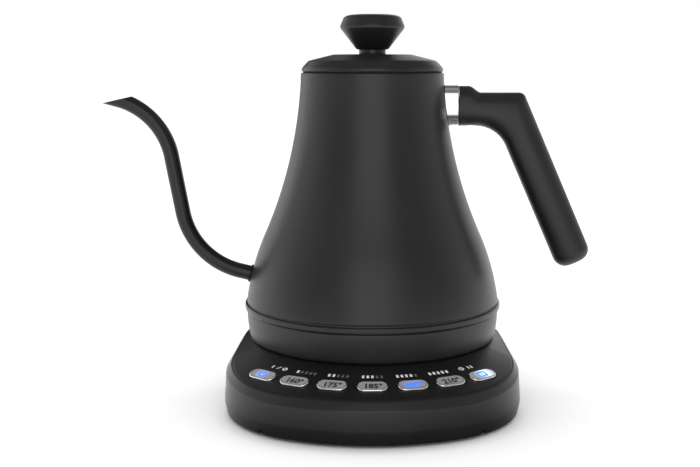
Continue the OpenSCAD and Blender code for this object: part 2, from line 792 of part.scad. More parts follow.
module lid_seal() {
    color("#8f8d89") at_seam() translate([0, 0, -plug_h / 2 - seal_h / 2]) rotate_extrude() polygon([
        [pan_r + fit_gap, 0], [pan_r + seal_w / 2, 0], [pan_r + seal_w, seal_h / 3],
        [pan_r + seal_w, 2 * seal_h / 3], [pan_r + seal_w / 2, seal_h], [pan_r + fit_gap, seal_h]]);
}

module knob_neck() {
    color("#3a3a3c") at_seam() translate([0, 0, lid_h]) tube(neck_r, screw_r + fit_gap, neck_h);
}

module lid_knob() {
    steps = 6;
    edge = 0.8;
    shoulder_r = knob_r - 1.7;
    shoulder_h = 0.62 * knob_crown_h;
    crown = [for (i = [0 : steps]) let (a = 90 * i / steps)
        [knob_flat_r + (shoulder_r - knob_flat_r) * cos(a), shoulder_h + (knob_crown_h - shoulder_h) * sin(a)]];
    color("#29292b") at_seam() translate([0, 0, lid_h + neck_h]) difference() {
        rotate_extrude() polygon(concat(
            [[0, 0], [knob_foot_r - edge, 0], [knob_foot_r, edge], [knob_r, knob_cone_h]],
            [for (p = crown) [p[0], p[1] + knob_cone_h]], [[0, knob_cone_h + knob_crown_h]]));
        translate([0, 0, -1]) cylinder(r = screw_r + fit_gap, h = knob_cone_h + 1);
    }
}

module knob_screw() {
    color("#9a9b9d") at_seam() translate([0, 0, lid_h - lid_t])
        case_screw(lid_t + neck_h + knob_cone_h - 1);
}

// ---------------------------------------------------------------- base shells

module base_top_cover() {
    hole_r = post_r + moat_w;
    color("#1d1d1f") difference() {
        ring_band([
            panel_ring(cover_edge, cover_t), panel_ring(cover_edge, 0), circle_ring(seat_r, base_h),
            circle_ring(hole_r, base_h), circle_ring(hole_r, base_h - cover_t),
            circle_ring(seat_r, base_h - cover_t)]);
        for (k = [-3 : 3]) at_cap(k) linear_extrude(height = 2 * base_h)
            pill(cap_l + 2 * side_gap, cap_w + 2 * side_gap);
    }
}

// Frame of a screw near the wall where the outline faces the direction a: X points out through the wall
module at_boss(a) {
    spot = rim_point(a, -boss_inset);
    translate([spot[0], spot[1], 0]) rotate([0, 0, a]) children();
}

module housing_boss() {
    rib_w = 2.4;
    height = base_boss_top - plate_top - fit_gap;
    translate([0, 0, base_boss_top - height]) {
        cylinder(r = boss_r, h = height);
        translate([0, -rib_w / 2, 0]) cube([boss_inset + parting_out / 2, rib_w, height]);
    }
}

module base_housing() {
    color("#333335") difference() {
        union() {
            ring_band([
                level_ring(parting_out - base_wall, plate_top), level_ring(parting_out, plate_top),
                level_ring(wall_flare, flare_h), panel_ring(bevel_out, bevel_h), panel_ring(0, 0),
                panel_ring(-rim_w, 0), panel_ring(-rim_w, ledge_drop), panel_ring(-rim_w - ledge_w, ledge_drop),
                panel_ring(-rim_w - ledge_w, ledge_drop + ledge_t),
                panel_ring(wall_top_in, ledge_drop + 2 * ledge_t), level_ring(wall_flare - base_wall, flare_h)]);
            for (a = boss_turns) at_boss(a) housing_boss();
        }
        for (a = boss_turns) at_boss(a) cylinder(r = screw_r + fit_gap, h = base_boss_top - blind_end);
        grommet_place() cylinder(r = grommet_neck_r + fit_gap, h = 20, center = true);
    }
}

module board_post(h) {
    translate([0, 0, plate_top - eps]) cylinder(r = board_post_r, h = h - plate_top + eps);
}

module base_bottom_plate() {
    color("#29292b") difference() {
        union() {
            ring_stack([level_ring(plate_draw, foot_proud), level_ring(parting_out, plate_top)]);
            for (p = control_post_spots) translate(p) board_post(board_z);
            for (p = power_post_spots) translate(p) board_post(power_board_z);
        }
        for (p = foot_spots) translate(p) cylinder(r = foot_r + side_gap, h = foot_proud + foot_recess);
        for (a = boss_turns) at_boss(a) {
            cylinder(r = screw_r + fit_gap, h = plate_top + 1);
            cylinder(r = head_r + side_gap, h = head_seat);
        }
        for (p = concat(control_post_spots, power_post_spots))
            translate([p[0], p[1], plate_top]) cylinder(r = board_screw_r + fit_gap, h = board_z);
    }
}

module base_feet() {
    color("#1a1a1a") for (p = foot_spots) translate(p) cylinder(r = foot_r, h = foot_proud + foot_recess);
}

module base_screws() {
    color("#9a9b9d") for (a = boss_turns) at_boss(a) translate([0, 0, head_seat])
        case_screw(base_boss_top - 2 * blind_end - head_seat);
}

// The inlet's frame: Z points out of the back of the base
module grommet_place() {
    translate([0, rear_r, grommet_z]) rotate([-90, 0, 0]) children();
}

module cord_inlet_grommet() {
    length = wall_flare + grommet_proud - grommet_inner + grommet_lip_t;
    color("#1a1a1a") grommet_place() translate([0, 0, grommet_inner - grommet_lip_t]) difference() {
        union() {
            cylinder(r = grommet_neck_r + grommet_lip, h = grommet_lip_t);
            cylinder(r = grommet_neck_r, h = length);
        }
        translate([0, 0, -1]) cylinder(r = cord_bore_r, h = length + 2);
    }
}

// ---------------------------------------------------------------- connector on the base

module connector_post() {
    color("#1c1c1e") difference() {
        union() {
            translate([0, 0, base_h - post_root]) cylinder(r = post_r, h = post_root + post_h);
            translate([0, 0, base_h - cover_t - post_flange_t])
                cylinder(r = post_r + post_flange_w, h = post_flange_t);
        }
        translate([0, 0, base_h + post_h - groove_depth]) {
            cylinder(r = pin_bore_r, h = groove_depth + 1);
            tube(groove_out_r, groove_in_r, groove_depth + 1);
        }
    }
}

module post_contacts() {
    contact_h = groove_depth - 2;
    wall = 0.5;
    color("#c9a24a") translate([0, 0, base_h + post_h - groove_depth]) {
        tube(pin_bore_r - fit_gap, pin_bore_r - wall, contact_h);
        tube(groove_out_r - fit_gap, groove_out_r - wall, contact_h);
    }
}

// ---------------------------------------------------------------- electronics

module control_board() {
    color("#1f5a38") difference() {
        translate([0, 0, board_z]) rotate([0, 0, -90 - control_board_turn])
            rotate_extrude(angle = 2 * control_board_turn)
                translate([seat_r + control_board_in, 0]) square([control_board_w, board_t]);
        for (p = control_post_spots) translate(p) cylinder(r = board_screw_r + fit_gap, h = base_h);
    }
}

module key_switches() {
    color("#3c3c3e") for (k = [-3 : 3]) at_cap(k) translate([0, 0, board_z + board_t]) {
        translate([-switch_w / 2, -switch_w / 2, 0]) cube([switch_w, switch_w, switch_h]);
        translate([0, 0, switch_h - eps]) cylinder(r = plunger_r, h = plunger_h + eps);
    }
}

module indicator_lights() {
    color("#dfe9f5") for (k = [-3 : 3]) at_cap(k)
        translate([switch_w / 2 + light_w, -light_w / 2, board_z + board_t])
            cube([light_l, light_w, light_h]);
}

module buzzer() {
    color("#101010") rotate([0, 0, -90 + 2.5 * cap_pitch])
        translate([control_post_ring, 0, board_z + board_t]) tube(buzzer_r, buzzer_bore_r, buzzer_h);
}

module power_board() {
    color("#1f5a38") difference() {
        translate([-power_board_l / 2, power_board_y - power_board_w / 2, power_board_z])
            cube([power_board_l, power_board_w, board_t]);
        for (p = power_post_spots) translate(p) cylinder(r = board_screw_r + fit_gap, h = base_h);
    }
}

module power_relay() {
    color("#2456a8") translate([-relay_l / 2, power_board_y - relay_w / 2, power_board_z + board_t])
        cube([relay_l, relay_w, relay_h]);
}

module board_screw_at(top) {
    translate([0, 0, top]) cylinder(r = board_head_r, h = board_head_h);
    translate([0, 0, top - board_t - board_screw_l]) cylinder(r = board_screw_r, h = board_t + board_screw_l + eps);
}

module board_screws() {
    color("#9a9b9d") {
        for (p = control_post_spots) translate(p) board_screw_at(board_z + board_t);
        for (p = power_post_spots) translate(p) board_screw_at(power_board_z + board_t);
    }
}

// ---------------------------------------------------------------- buttons

// Frame of button k, counted from the middle: X runs along the cap and Y towards the kettle
module at_cap(k) {
    rotate([0, 0, k * cap_pitch]) translate([0, -cap_ring_r, 0]) children();
}

// Frame of a cap's tilted top: Z points away from the panel
module at_panel() {
    translate([0, 0, cap_z]) rotate([panel_angle, 0, 0]) children();
}

// The slice of an upright pill-shaped column between two planes parallel to the panel
module cap_slice(grow, low, high) {
    reach = 3 * cap_l;
    intersection() {
        linear_extrude(height = 2 * base_h) pill(cap_l + 2 * grow, cap_w + 2 * grow);
        at_panel() translate([-reach / 2, -reach / 2, low]) cube([reach, reach, high - low]);
    }
}

// The bevelled crown of a cap
module cap_crown() {
    w = cap_w / cos(panel_angle) - 2 * cap_edge;
    run = cap_l - 2 * cap_edge - w;
    at_panel() translate([0, 0, cap_proud - cap_bevel]) {
        for (s = [-1, 1]) translate([s * run / 2, 0, 0])
            cylinder(r1 = w / 2, r2 = w / 2 - cap_bevel, h = cap_bevel);
        rotate([90, 0, 90]) linear_extrude(height = run, center = true) polygon([
            [-w / 2, 0], [w / 2, 0], [w / 2 - cap_bevel, cap_bevel], [cap_bevel - w / 2, cap_bevel]]);
    }
}

module button(k) {
    flange_top = -cover_t - cap_flange_gap;
    color("#a4a6a9") at_cap(k) {
        cap_crown();
        cap_slice(0, flange_top - eps, cap_proud - cap_bevel);
        cap_slice(cap_lip, flange_top - cap_flange_t, flange_top);
        translate([0, 0, stem_foot]) cylinder(r = stem_r, h = stem_l + cap_flange_t / 2);
    }
}

module power_button() { button(-3); }
module preset_button_1() { button(-2); }
module preset_button_2() { button(-1); }
module preset_button_3() { button(0); }
module preset_button_4() { button(1); }
module preset_button_5() { button(2); }
module hold_button() { button(3); }

kettle_body();
body_trim_ring();
bottom_skirt();
heating_plate();
heating_element();
boil_dry_cutout();
temperature_probe();
probe_seal();
kettle_bottom_cover();
bottom_cover_screws();
connector_socket();
socket_contacts();
spout_tube();
spout_collar();
handle_bracket();
handle_grip();
handle_screw();
lid_shell();
lid_pan();
lid_seal();
knob_neck();
lid_knob();
knob_screw();
base_top_cover();
base_housing();
base_bottom_plate();
base_feet();
base_screws();
connector_post();
post_contacts();
cord_inlet_grommet();
control_board();
key_switches();
indicator_lights();
buzzer();
power_board();
power_relay();
board_screws();
power_button();
preset_button_1();
preset_button_2();
preset_button_3();
preset_button_4();
preset_button_5();
hold_button();
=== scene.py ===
"""Gooseneck kettle on its power base: finished surfaces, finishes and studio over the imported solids."""
import json
import math

import bmesh
import bpy
import numpy as np
from mathutils import Matrix, Vector


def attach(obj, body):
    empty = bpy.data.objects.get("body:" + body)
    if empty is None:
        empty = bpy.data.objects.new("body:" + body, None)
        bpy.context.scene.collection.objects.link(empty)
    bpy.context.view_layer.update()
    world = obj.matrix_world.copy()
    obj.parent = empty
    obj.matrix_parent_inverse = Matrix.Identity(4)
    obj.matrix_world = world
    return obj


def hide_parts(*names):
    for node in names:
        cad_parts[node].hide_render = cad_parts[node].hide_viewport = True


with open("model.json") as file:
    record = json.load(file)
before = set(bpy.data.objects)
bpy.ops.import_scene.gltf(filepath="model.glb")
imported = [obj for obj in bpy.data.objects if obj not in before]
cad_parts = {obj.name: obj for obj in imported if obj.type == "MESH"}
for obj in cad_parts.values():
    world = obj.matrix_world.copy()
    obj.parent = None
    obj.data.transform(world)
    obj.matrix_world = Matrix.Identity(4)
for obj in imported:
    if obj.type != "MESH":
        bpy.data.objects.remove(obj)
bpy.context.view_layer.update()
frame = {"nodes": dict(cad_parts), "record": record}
NODES = frame["nodes"]
MM = 0.001
TAU = 2 * np.pi


# ---------- sizes, in millimetres
# _Z is a height above the table, _H one above the kettle's lower edge, _R a radius and _T a thickness.

SEAT_Z = 34.5
PANEL_ANGLE = math.radians(16.8)
SLOPE = math.tan(PANEL_ANGLE)
STAND_GAP = 0.3
KETTLE_Z = SEAT_Z + STAND_GAP
SEAM_H = 158.1
SEAM_Z = KETTLE_Z + SEAM_H
TOP_R = 42.4
NECK_CURVE_R, BELLY_CURVE_R = 266.0, 146.5
TOP_LEAN, MID_LEAN = math.radians(2.6), math.radians(24.0)
CURVE_JOIN = NECK_CURVE_R * (math.sin(MID_LEAN) - math.sin(TOP_LEAN))
JOIN_R = TOP_R + NECK_CURVE_R * (math.cos(TOP_LEAN) - math.cos(MID_LEAN))
BODY_BOTTOM_H = 21.8
BODY_LEN = SEAM_H - BODY_BOTTOM_H
BODY_WALL = 0.8
MOUTH_R, MOUTH_OUT_R = 38.2, 39.0
MOUTH_H = SEAM_H - 9.0
SKIRT_H, BAND_TOP_H = 17.3, 21.0
SKIRT_FLARE, SKIRT_WALL = 1.8, 2.2


def side_lean(depth):
    """Lean of the kettle's side: the angle whose sine grows along the hollow arc, then shrinks along the full one."""
    upper = np.arcsin(np.clip(np.sin(TOP_LEAN) + depth / NECK_CURVE_R, -1, 1))
    lower = np.arcsin(np.clip(np.sin(MID_LEAN) - (depth - CURVE_JOIN) / BELLY_CURVE_R, -1, 1))
    return np.where(depth <= CURVE_JOIN, upper, lower)


def side_radius(depth):
    """Radius of the kettle's side: start radius plus arc radius times the change of the lean's cosine."""
    lean = side_lean(depth)
    upper = TOP_R + NECK_CURVE_R * (np.cos(TOP_LEAN) - np.cos(lean))
    lower = JOIN_R + BELLY_CURVE_R * (np.cos(lean) - np.cos(MID_LEAN))
    return np.where(depth <= CURVE_JOIN, upper, lower)


FOOT_R = float(side_radius(np.array(BODY_LEN)))
BAND_R = FOOT_R + 1.1
SKIRT_TOP_R = BAND_R - 1.2
SKIRT_FOOT_R = SKIRT_TOP_R - SKIRT_FLARE
SKIRT_IN_R = SKIRT_FOOT_R - SKIRT_WALL
SEAT_R = SKIRT_FOOT_R + 0.4
FRONT_R = SEAT_R + 34.7
REAR_R = SEAT_R + 4.5
CORNER_R = 62.0
CORNER_X = SEAT_R + 7.3 - CORNER_R
CORNER_REACH = FRONT_R - CORNER_R
CORNER_Y = math.sqrt(CORNER_REACH ** 2 - CORNER_X ** 2)
FRONT_TURN = math.asin(CORNER_X / CORNER_REACH)
SIDE_TURN = math.atan2(CORNER_Y, -CORNER_X) - math.acos((CORNER_R - REAR_R) / CORNER_REACH)
COVER_T = 2.2
PLATE_TOP = 3.4
BOSS_R = 3.7
CAP_RING_R = SEAT_R + 20.4
CAP_L, CAP_W, CAP_PROUD = 16.5, 7.9, 1.2
CAP_PITCH = math.radians(13.1)
CAP_GROWTH = 0.011
FACE_DIP = 0.13


def panel_height(radius):
    """Height of the base's top: level on the seat, then falling away outwards at the panel's slope."""
    return SEAT_Z - SLOPE * np.maximum(radius - SEAT_R, 0)


# ---------- mesh helpers

SHARP_ANGLE = math.radians(35)
MERGE_GAP, SHORT_EDGE = 2e-7, 1e-8  # in metres


def rounded(corners, radii, steps=5, closed=True):
    """A polyline whose corners give way to parabolas between two points set back along the corner's sides.

    corners is (..., m, 2); radii is one set-back or m of them. Ends of an open line stay sharp.
    """
    corners = np.asarray(corners, float)
    radii = np.broadcast_to(np.asarray(radii, float), corners.shape[-2:-1])
    before, after = np.roll(corners, 1, -2), np.roll(corners, -1, -2)
    if not closed:
        before[..., 0, :], after[..., -1, :] = corners[..., 0, :], corners[..., -1, :]

    def towards(other):
        """The corners moved towards other points by their set-backs, at most nearly half way."""
        way = other - corners
        length = np.linalg.norm(way, axis=-1, keepdims=True)
        reach = np.minimum(radii[:, None], 0.48 * length)
        return corners + way * reach / np.maximum(length, 1e-9)

    first, last = towards(before)[..., None, :], towards(after)[..., None, :]
    u = np.linspace(0, 1, steps)[:, None]
    mid = corners[..., None, :]
    curve = (1 - u) ** 2 * first + 2 * u * (1 - u) * mid + u ** 2 * last
    return curve.reshape(*corners.shape[:-2], -1, 2)


def arc_points(centre, radius, start, end, n):
    """Points on an arc: centre plus radius times (cos, sin) from start to end."""
    a = np.linspace(start, end, n)
    return np.stack([centre[0] + radius * np.cos(a), centre[1] + radius * np.sin(a)], -1)


def drawn_in(ring, *shares):
    """Copies of a ring of points, each drawn in to a share of its size about its middle."""
    middle = ring.mean(0)
    return [middle + (ring - middle) * share for share in shares]


def grid_faces(rows, columns, wrap_rows, wrap_columns, first=0):
    """Four-cornered faces between neighbouring points of a grid, with each wrapped direction joined to its start."""
    i = np.arange(rows if wrap_rows else rows - 1)[:, None]
    j = np.arange(columns if wrap_columns else columns - 1)[None, :]
    i2, j2 = (i + 1) % rows, (j + 1) % columns
    quads = np.stack([i * columns + j, i2 * columns + j, i2 * columns + j2, i * columns + j2], -1)
    return quads.reshape(-1, 4) + first


def carried(grid, place):
    """A grid of points moved by a matrix."""
    return grid @ np.array(place.to_3x3()).T + np.array(place.translation)


class Shape:
    """Grids of points, gathered for one piece; each grid is (rows, columns, 3) in millimetres."""

    def __init__(self):
        self.points, self.faces, self.count = [], [], 0

    def add(self, grid, wrap_rows=False, wrap_columns=False):
        """One more grid, joined to its start in the directions that wrap."""
        rows, columns = grid.shape[:2]
        self.points.append(np.asarray(grid, float).reshape(-1, 3))
        self.faces.append(grid_faces(rows, columns, wrap_rows, wrap_columns, self.count))
        self.count += rows * columns
        return self

    def spin(self, profile, turns=192, closed=True, centre=(0, 0), place=None):
        """A profile of (radius, height) points turned about the vertical through centre: (r cos t, r sin t, z)."""
        t = np.arange(turns) * TAU / turns
        r, z = profile[:, 0][:, None], profile[:, 1][:, None]
        grid = np.stack([r * np.cos(t), r * np.sin(t), z + 0 * t], -1)
        if place is not None:
            grid = carried(grid, place)
        return self.add(grid + (*centre, 0), wrap_rows=closed, wrap_columns=True)

    def post(self, x, y, low, high, radius, edge=0.25, turns=48):
        """A closed round post: a spun profile from the axis out, up and back to the axis."""
        line = rounded([[0, low], [radius, low], [radius, high], [0, high]], edge, closed=False)
        return self.spin(line, turns, closed=False, centre=(x, y))

    def mesh(self, name):
        """The gathered grids as one mesh in metres, doubles merged and faces turned outwards."""
        points = np.concatenate(self.points) * MM
        mesh = bpy.data.meshes.new(name)
        mesh.from_pydata(points.tolist(), [], np.concatenate(self.faces).tolist())
        work = bmesh.new()
        work.from_mesh(mesh)
        bmesh.ops.remove_doubles(work, verts=work.verts, dist=MERGE_GAP)
        bmesh.ops.dissolve_degenerate(work, edges=work.edges, dist=SHORT_EDGE)
        bmesh.ops.recalc_face_normals(work, faces=work.faces)
        work.to_mesh(mesh)
        work.free()
        mesh.shade_smooth()
        return mesh


def linked(name, data):
    """A new object in the scene."""
    obj = bpy.data.objects.new(name, data)
    bpy.context.scene.collection.objects.link(obj)
    return obj


def solved_mesh(obj):
    """An object's mesh as it stands after its modifiers or its text settings."""
    bpy.context.view_layer.update()
    return bpy.data.meshes.new_from_object(obj.evaluated_get(bpy.context.evaluated_depsgraph_get()))


def piece(name, shape, body, finish, replaces=(), cutters=()):
    """A finished object: its mesh, cut by any cutters, riding on its body and standing for its CAD nodes."""
    obj = linked(name, shape.mesh(name) if isinstance(shape, Shape) else shape)
    for cutter in cutters:
        tool = linked("cutter", cutter.mesh("cutter"))
        cut = obj.modifiers.new("cut", "BOOLEAN")
        cut.operation, cut.solver, cut.object = "DIFFERENCE", "EXACT", tool
        solved = solved_mesh(obj)
        obj.modifiers.clear()
        obj.data = solved
        bpy.data.objects.remove(tool)
    if cutters:
        obj.data.set_sharp_from_angle(angle=SHARP_ANGLE)
    obj.data.materials.clear()
    obj.data.materials.append(finish)
    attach(obj, body)
    if replaces:
        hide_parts(*replaces)


def profile(points, radii, steps=5):
    """A closed, rounded outline of a turned piece."""
    return rounded(np.array(points, float), radii, steps)


# ---------- finishes

class Value:
    """A number or vector in a node tree; arithmetic on it adds Math nodes to its graph."""

    def __init__(self, graph, socket):
        self.graph, self.socket = graph, socket

    def math(self, operation, *terms):
        """One Math node on these terms."""
        return self.graph.node("ShaderNodeMath", {"operation": operation}, dict(enumerate(terms)))

    def __add__(self, other):
        return self.math("ADD", self, other)

    __radd__ = __add__

    def __sub__(self, other):
        return self.math("SUBTRACT", self, other)

    def __rsub__(self, other):
        return self.math("SUBTRACT", other, self)

    def __mul__(self, other):
        return self.math("MULTIPLY", self, other)

    __rmul__ = __mul__

    def between(self, low, high, start=0.0, end=1.0):
        """Runs smoothly from start to end as this number goes from low to high."""
        return self.graph.node(
            "ShaderNodeMapRange", {"interpolation_type": "SMOOTHSTEP"},
            {"Value": self, "From Min": low, "From Max": high, "To Min": start, "To Max": end})


class Graph:
    """A node tree with one way of making nodes and links."""

    def __init__(self, owner):
        owner.use_nodes = True
        self.nodes, self.links = owner.node_tree.nodes, owner.node_tree.links

    def made(self, kind, settings=None, inputs=None):
        """A node: its settings are set first, then its inputs are given values or links."""
        made = self.nodes.new(kind)
        for key, value in (settings or {}).items():
            setattr(made, key, value)
        self.fill(made, inputs or {})
        return made

    def fill(self, made, inputs):
        """Gives a node's inputs their values or links; an underscore in a name stands for a space."""
        for key, value in inputs.items():
            key = key.replace("_", " ") if isinstance(key, str) else key
            if isinstance(value, Value):
                self.links.new(value.socket, made.inputs[key])
            else:
                made.inputs[key].default_value = value

    def node(self, kind, settings=None, inputs=None, out=0):
        """One output of a new node."""
        return Value(self, self.made(kind, settings, inputs).outputs[out])


MIX_FIRST, MIX_SECOND, MIX_RESULT = 6, 7, 2  # the colour sockets of a Mix node


class Finish(Graph):
    """A material on Object coordinates, built from nodes in the order in which they are asked for."""

    def __init__(self, name, **constants):
        self.material = bpy.data.materials.new(name)
        super().__init__(self.material)
        self.surface = self.nodes["Principled BSDF"]
        self.fill(self.surface, constants)
        self.place = self.node("ShaderNodeTexCoord", out="Object")

    def noise(self, scale, detail=3.0, roughness=0.55, place=None):
        """Smooth random variation, with scale in cycles per metre."""
        return self.node("ShaderNodeTexNoise", {}, {
            "Vector": place or self.place, "Scale": scale, "Detail": detail, "Roughness": roughness})

    def stretched(self, x, y, z):
        """The surface's place scaled on each axis, for grain that runs one way or a zone that is an oval."""
        return self.node("ShaderNodeMapping", {}, {"Vector": self.place, "Scale": (x, y, z)})

    def blend(self, factor, first, second):
        """One colour turning into another."""
        colours = {"Factor": factor, MIX_FIRST: first, MIX_SECOND: second}
        return self.node("ShaderNodeMix", {"data_type": "RGBA"}, colours, out=MIX_RESULT)

    def distance(self, place, *point):
        """How far a place is from a point."""
        return self.node("ShaderNodeVectorMath", {"operation": "DISTANCE"}, {0: place, 1: point}, out="Value")

    def bump(self, height, strength, distance):
        """A normal tilted by fine relief, with distance in metres."""
        return self.node("ShaderNodeBump", {}, {"Height": height, "Strength": strength, "Distance": distance})

    def feed(self, **links):
        """Links values to the surface's sockets and hands back the material."""
        self.fill(self.surface, links)
        return self.material


def grey(level):
    """A grey of that level."""
    return (level, level, level, 1.0)


def shade(colour, share=1.0):
    """A colour of three parts brought down to a share of its brightness, with its alpha."""
    return (*(c * share for c in colour), 1.0)


COAT_GRAIN = 2600.0


def coated_metal(name, level, rough, specular=0.5):
    """Satin powder coat: a dark base with a fine pebbled skin, faint clouding and handling marks in its gloss."""
    f = Finish(name, Specular_IOR_Level=specular)
    cloud = f.noise(18.0, 2.0).between(0.3, 0.7)
    skin = f.noise(COAT_GRAIN, 2.0, 0.6)
    speck = f.noise(COAT_GRAIN * 0.35, 3.0).between(0.62, 0.8)
    colour = f.blend(cloud, grey(level * 0.92), grey(level * 1.08))
    colour = f.blend(speck * 0.35, colour, grey(level * 1.5))
    gloss = cloud * 0.05 + (rough - 0.025) + speck * 0.05
    return f.feed(Base_Color=colour, Roughness=gloss, Normal=f.bump(skin, 0.35, 0.000012))


def moulded_plastic(name, level, rough, grain=1500.0, depth=0.00002):
    """Moulded plastic: a fine spark-eroded texture, with slow drifts of colour and gloss."""
    f = Finish(name)
    drift = f.noise(30.0, 2.0).between(0.35, 0.65)
    cells = {"Vector": f.place, "Scale": grain, "Smoothness": 0.6}
    pits = f.node("ShaderNodeTexVoronoi", {"feature": "SMOOTH_F1"}, cells)
    fine = f.noise(grain * 1.7, 2.0)
    colour = f.blend(drift, grey(level * 0.93), grey(level * 1.07))
    gloss = drift * 0.06 + (rough - 0.03)
    return f.feed(Base_Color=colour, Roughness=gloss, Normal=f.bump(pits * 0.6 + fine * 0.4, 0.4, depth))


def tinted_plastic(name, colour, rough):
    """Glossy coloured plastic with a faint drift of tone."""
    f = Finish(name, Coat_Weight=0.2)
    drift = f.noise(220.0, 2.0).between(0.3, 0.7)
    tone = f.blend(drift, shade(colour, 0.9), shade(colour))
    return f.feed(Base_Color=tone, Roughness=drift * 0.06 + rough)


def brushed_metal(name, colour, rough, stretch=(40.0, 40.0, 2400.0), relief=0.25):
    """Brushed steel: fine lines that run one way, seen in colour, gloss and relief."""
    f = Finish(name, Metallic=1.0)
    lines = f.noise(1.0, 4.0, 0.65, f.stretched(*stretch))
    broad = f.noise(25.0, 2.0)
    tone = f.blend(lines.between(0.3, 0.7), shade(colour, 0.85), shade(colour))
    gloss = lines * (rough * 0.5) + broad * (rough * 0.3) + rough * 0.6
    return f.feed(Base_Color=tone, Roughness=gloss, Normal=f.bump(lines, relief, 0.00001))


def soft_rubber(name, level, rough=0.75):
    """Rubber: matte and dusty, with a fine blotched bloom."""
    f = Finish(name, Specular_IOR_Level=0.35)
    bloom = f.noise(140.0, 4.0)
    colour = f.blend(bloom.between(0.35, 0.7), grey(level * 0.85), grey(level * 1.25))
    gloss = bloom * 0.1 + (rough - 0.05)
    return f.feed(Base_Color=colour, Roughness=gloss, Normal=f.bump(f.noise(1800.0, 2.0), 0.3, 0.00002))


def cap_coat(name, **constants):
    """The caps' silver coat as an open finish: half metallic, fine-grained, a little duller in places."""
    f = Finish(name, Metallic=0.5, **constants)
    cloud = f.noise(90.0, 2.0).between(0.3, 0.7)
    f.feed(Base_Color=f.blend(cloud, grey(0.46), grey(0.49)), Roughness=cloud * 0.03 + 0.25,
           Normal=f.bump(f.noise(2600.0, 1.0), 0.15, 0.000003))
    return f


def lit_cap(name, centre, reach, strength, colour):
    """A cap's coat with light coming through it, strongest at its centre."""
    f = cap_coat(name, Emission_Strength=strength)
    glow = f.distance(f.place, *centre).between(reach * 0.1, reach, 1.0, 0.0)
    return f.feed(Emission_Color=f.blend(glow, grey(0), shade(colour)))


def plain_metal(name, colour, rough):
    """Machined small metal part, faintly smeared."""
    f = Finish(name, Metallic=1.0)
    smear = f.noise(400.0, 3.0)
    tone = f.blend(smear.between(0.3, 0.7), shade(colour, 0.88), shade(colour))
    return f.feed(Base_Color=tone, Roughness=smear * 0.12 + (rough - 0.06))


def circuit_board(name):
    """Solder mask over copper: green, with the faint lighter web of the tracks under it."""
    f = Finish(name, Coat_Weight=0.3)
    cells = f.node("ShaderNodeTexBrick", {}, {
        "Vector": f.place, "Scale": 160.0, "Mortar Size": 0.05,
        "Color1": grey(0), "Color2": grey(0.2), "Mortar": grey(1)}, out="Fac")
    colour = f.blend(cells, (0.012, 0.09, 0.035, 1), (0.03, 0.2, 0.07, 1))
    return f.feed(Base_Color=colour, Roughness=f.noise(300.0) * 0.1 + 0.3)


def lit(name, colour, strength):
    """A backlit legend: it glows evenly, with a slight fall in brightness from place to place."""
    f = Finish(name, Base_Color=shade(colour), Roughness=0.4, Emission_Strength=strength)
    glow = f.noise(900.0, 1.0).between(0.2, 0.8)
    return f.feed(Emission_Color=f.blend(glow, shade(colour, 0.8), shade(colour)))


def ink(name, level):
    """Printed ink, slightly uneven."""
    f = Finish(name, Roughness=0.55)
    return f.feed(Base_Color=f.blend(f.noise(1500.0), grey(level * 0.85), grey(level)))


body_black = coated_metal("satin_black_coat", 0.0095, 0.36)
spout_black = coated_metal("spout_coat", 0.0075, 0.22, specular=0.4)
washer_black = soft_rubber("washer_rubber", 0.004)
lid_black = coated_metal("satin_black_lid_coat", 0.008, 0.36)
skirt_black = moulded_plastic("skirt_plastic", 0.012, 0.36)
trim_black = moulded_plastic("trim_plastic", 0.008, 0.3)
wall_black = moulded_plastic("housing_plastic", 0.0105, 0.3, depth=0.000008)
panel_black = moulded_plastic("panel_plastic", 0.006, 0.34, grain=2200.0, depth=0.00001)
grip_black = moulded_plastic("grip_plastic", 0.0085, 0.42)
polished = brushed_metal("polished_steel", (0.9, 0.9, 0.91), 0.07, (900.0, 30.0, 30.0), 0.0)
inner_steel = brushed_metal("inner_steel", (0.6, 0.6, 0.61), 0.34)
cap_silver = cap_coat("cap_silver_coat").material
rim_silver = plain_metal("rim_silver", (0.9, 0.9, 0.91), 0.2)
seal_grey = soft_rubber("silicone_seal", 0.45, 0.6)
foot_black = soft_rubber("foot_rubber", 0.012)
screw_steel = plain_metal("screw_steel", (0.55, 0.55, 0.56), 0.34)
contact_brass = plain_metal("contact_brass", (0.78, 0.57, 0.22), 0.28)
element_metal = plain_metal("element_metal", (0.42, 0.42, 0.43), 0.45)
board_green = circuit_board("board_green")
part_black = moulded_plastic("component_black", 0.02, 0.35)
relay_blue = tinted_plastic("relay_blue", (0.02, 0.09, 0.4), 0.35)
lamp_clear = tinted_plastic("lamp_clear", (0.7, 0.78, 0.85), 0.15)
lit_blue = lit("lit_blue", (0.03, 0.17, 0.85), 0.85)
lit_deep = lit("lit_deep", (0.02, 0.12, 0.72), 0.75)
lit_sky = lit("lit_sky", (0.015, 0.18, 0.7), 0.7)
dark_ink = ink("dark_ink", 0.008)
white_ink = ink("white_ink", 0.8)
dim_ink = ink("dim_ink", 0.11)

SLOT_FINISH = {
    "black_paint": body_black, "black_plastic": wall_black, "panel_plastic": panel_black,
    "grip_plastic": grip_black, "trim_black": trim_black, "polished_steel": polished,
    "inner_steel": inner_steel, "cap_silver": cap_silver, "silicone_seal": seal_grey,
    "foot_rubber": foot_black, "screw_steel": screw_steel, "contact_brass": contact_brass,
    "element_alloy": element_metal, "board_green": board_green, "part_dark": part_black,
    "relay_blue": relay_blue, "lamp_clear": lamp_clear,
}
for entry in frame["record"]["subparts"]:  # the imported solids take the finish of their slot
    node = NODES[entry["node"]]
    node.data.materials.clear()
    node.data.materials.append(SLOT_FINISH[entry["material_slot"]])

# ---------- kettle

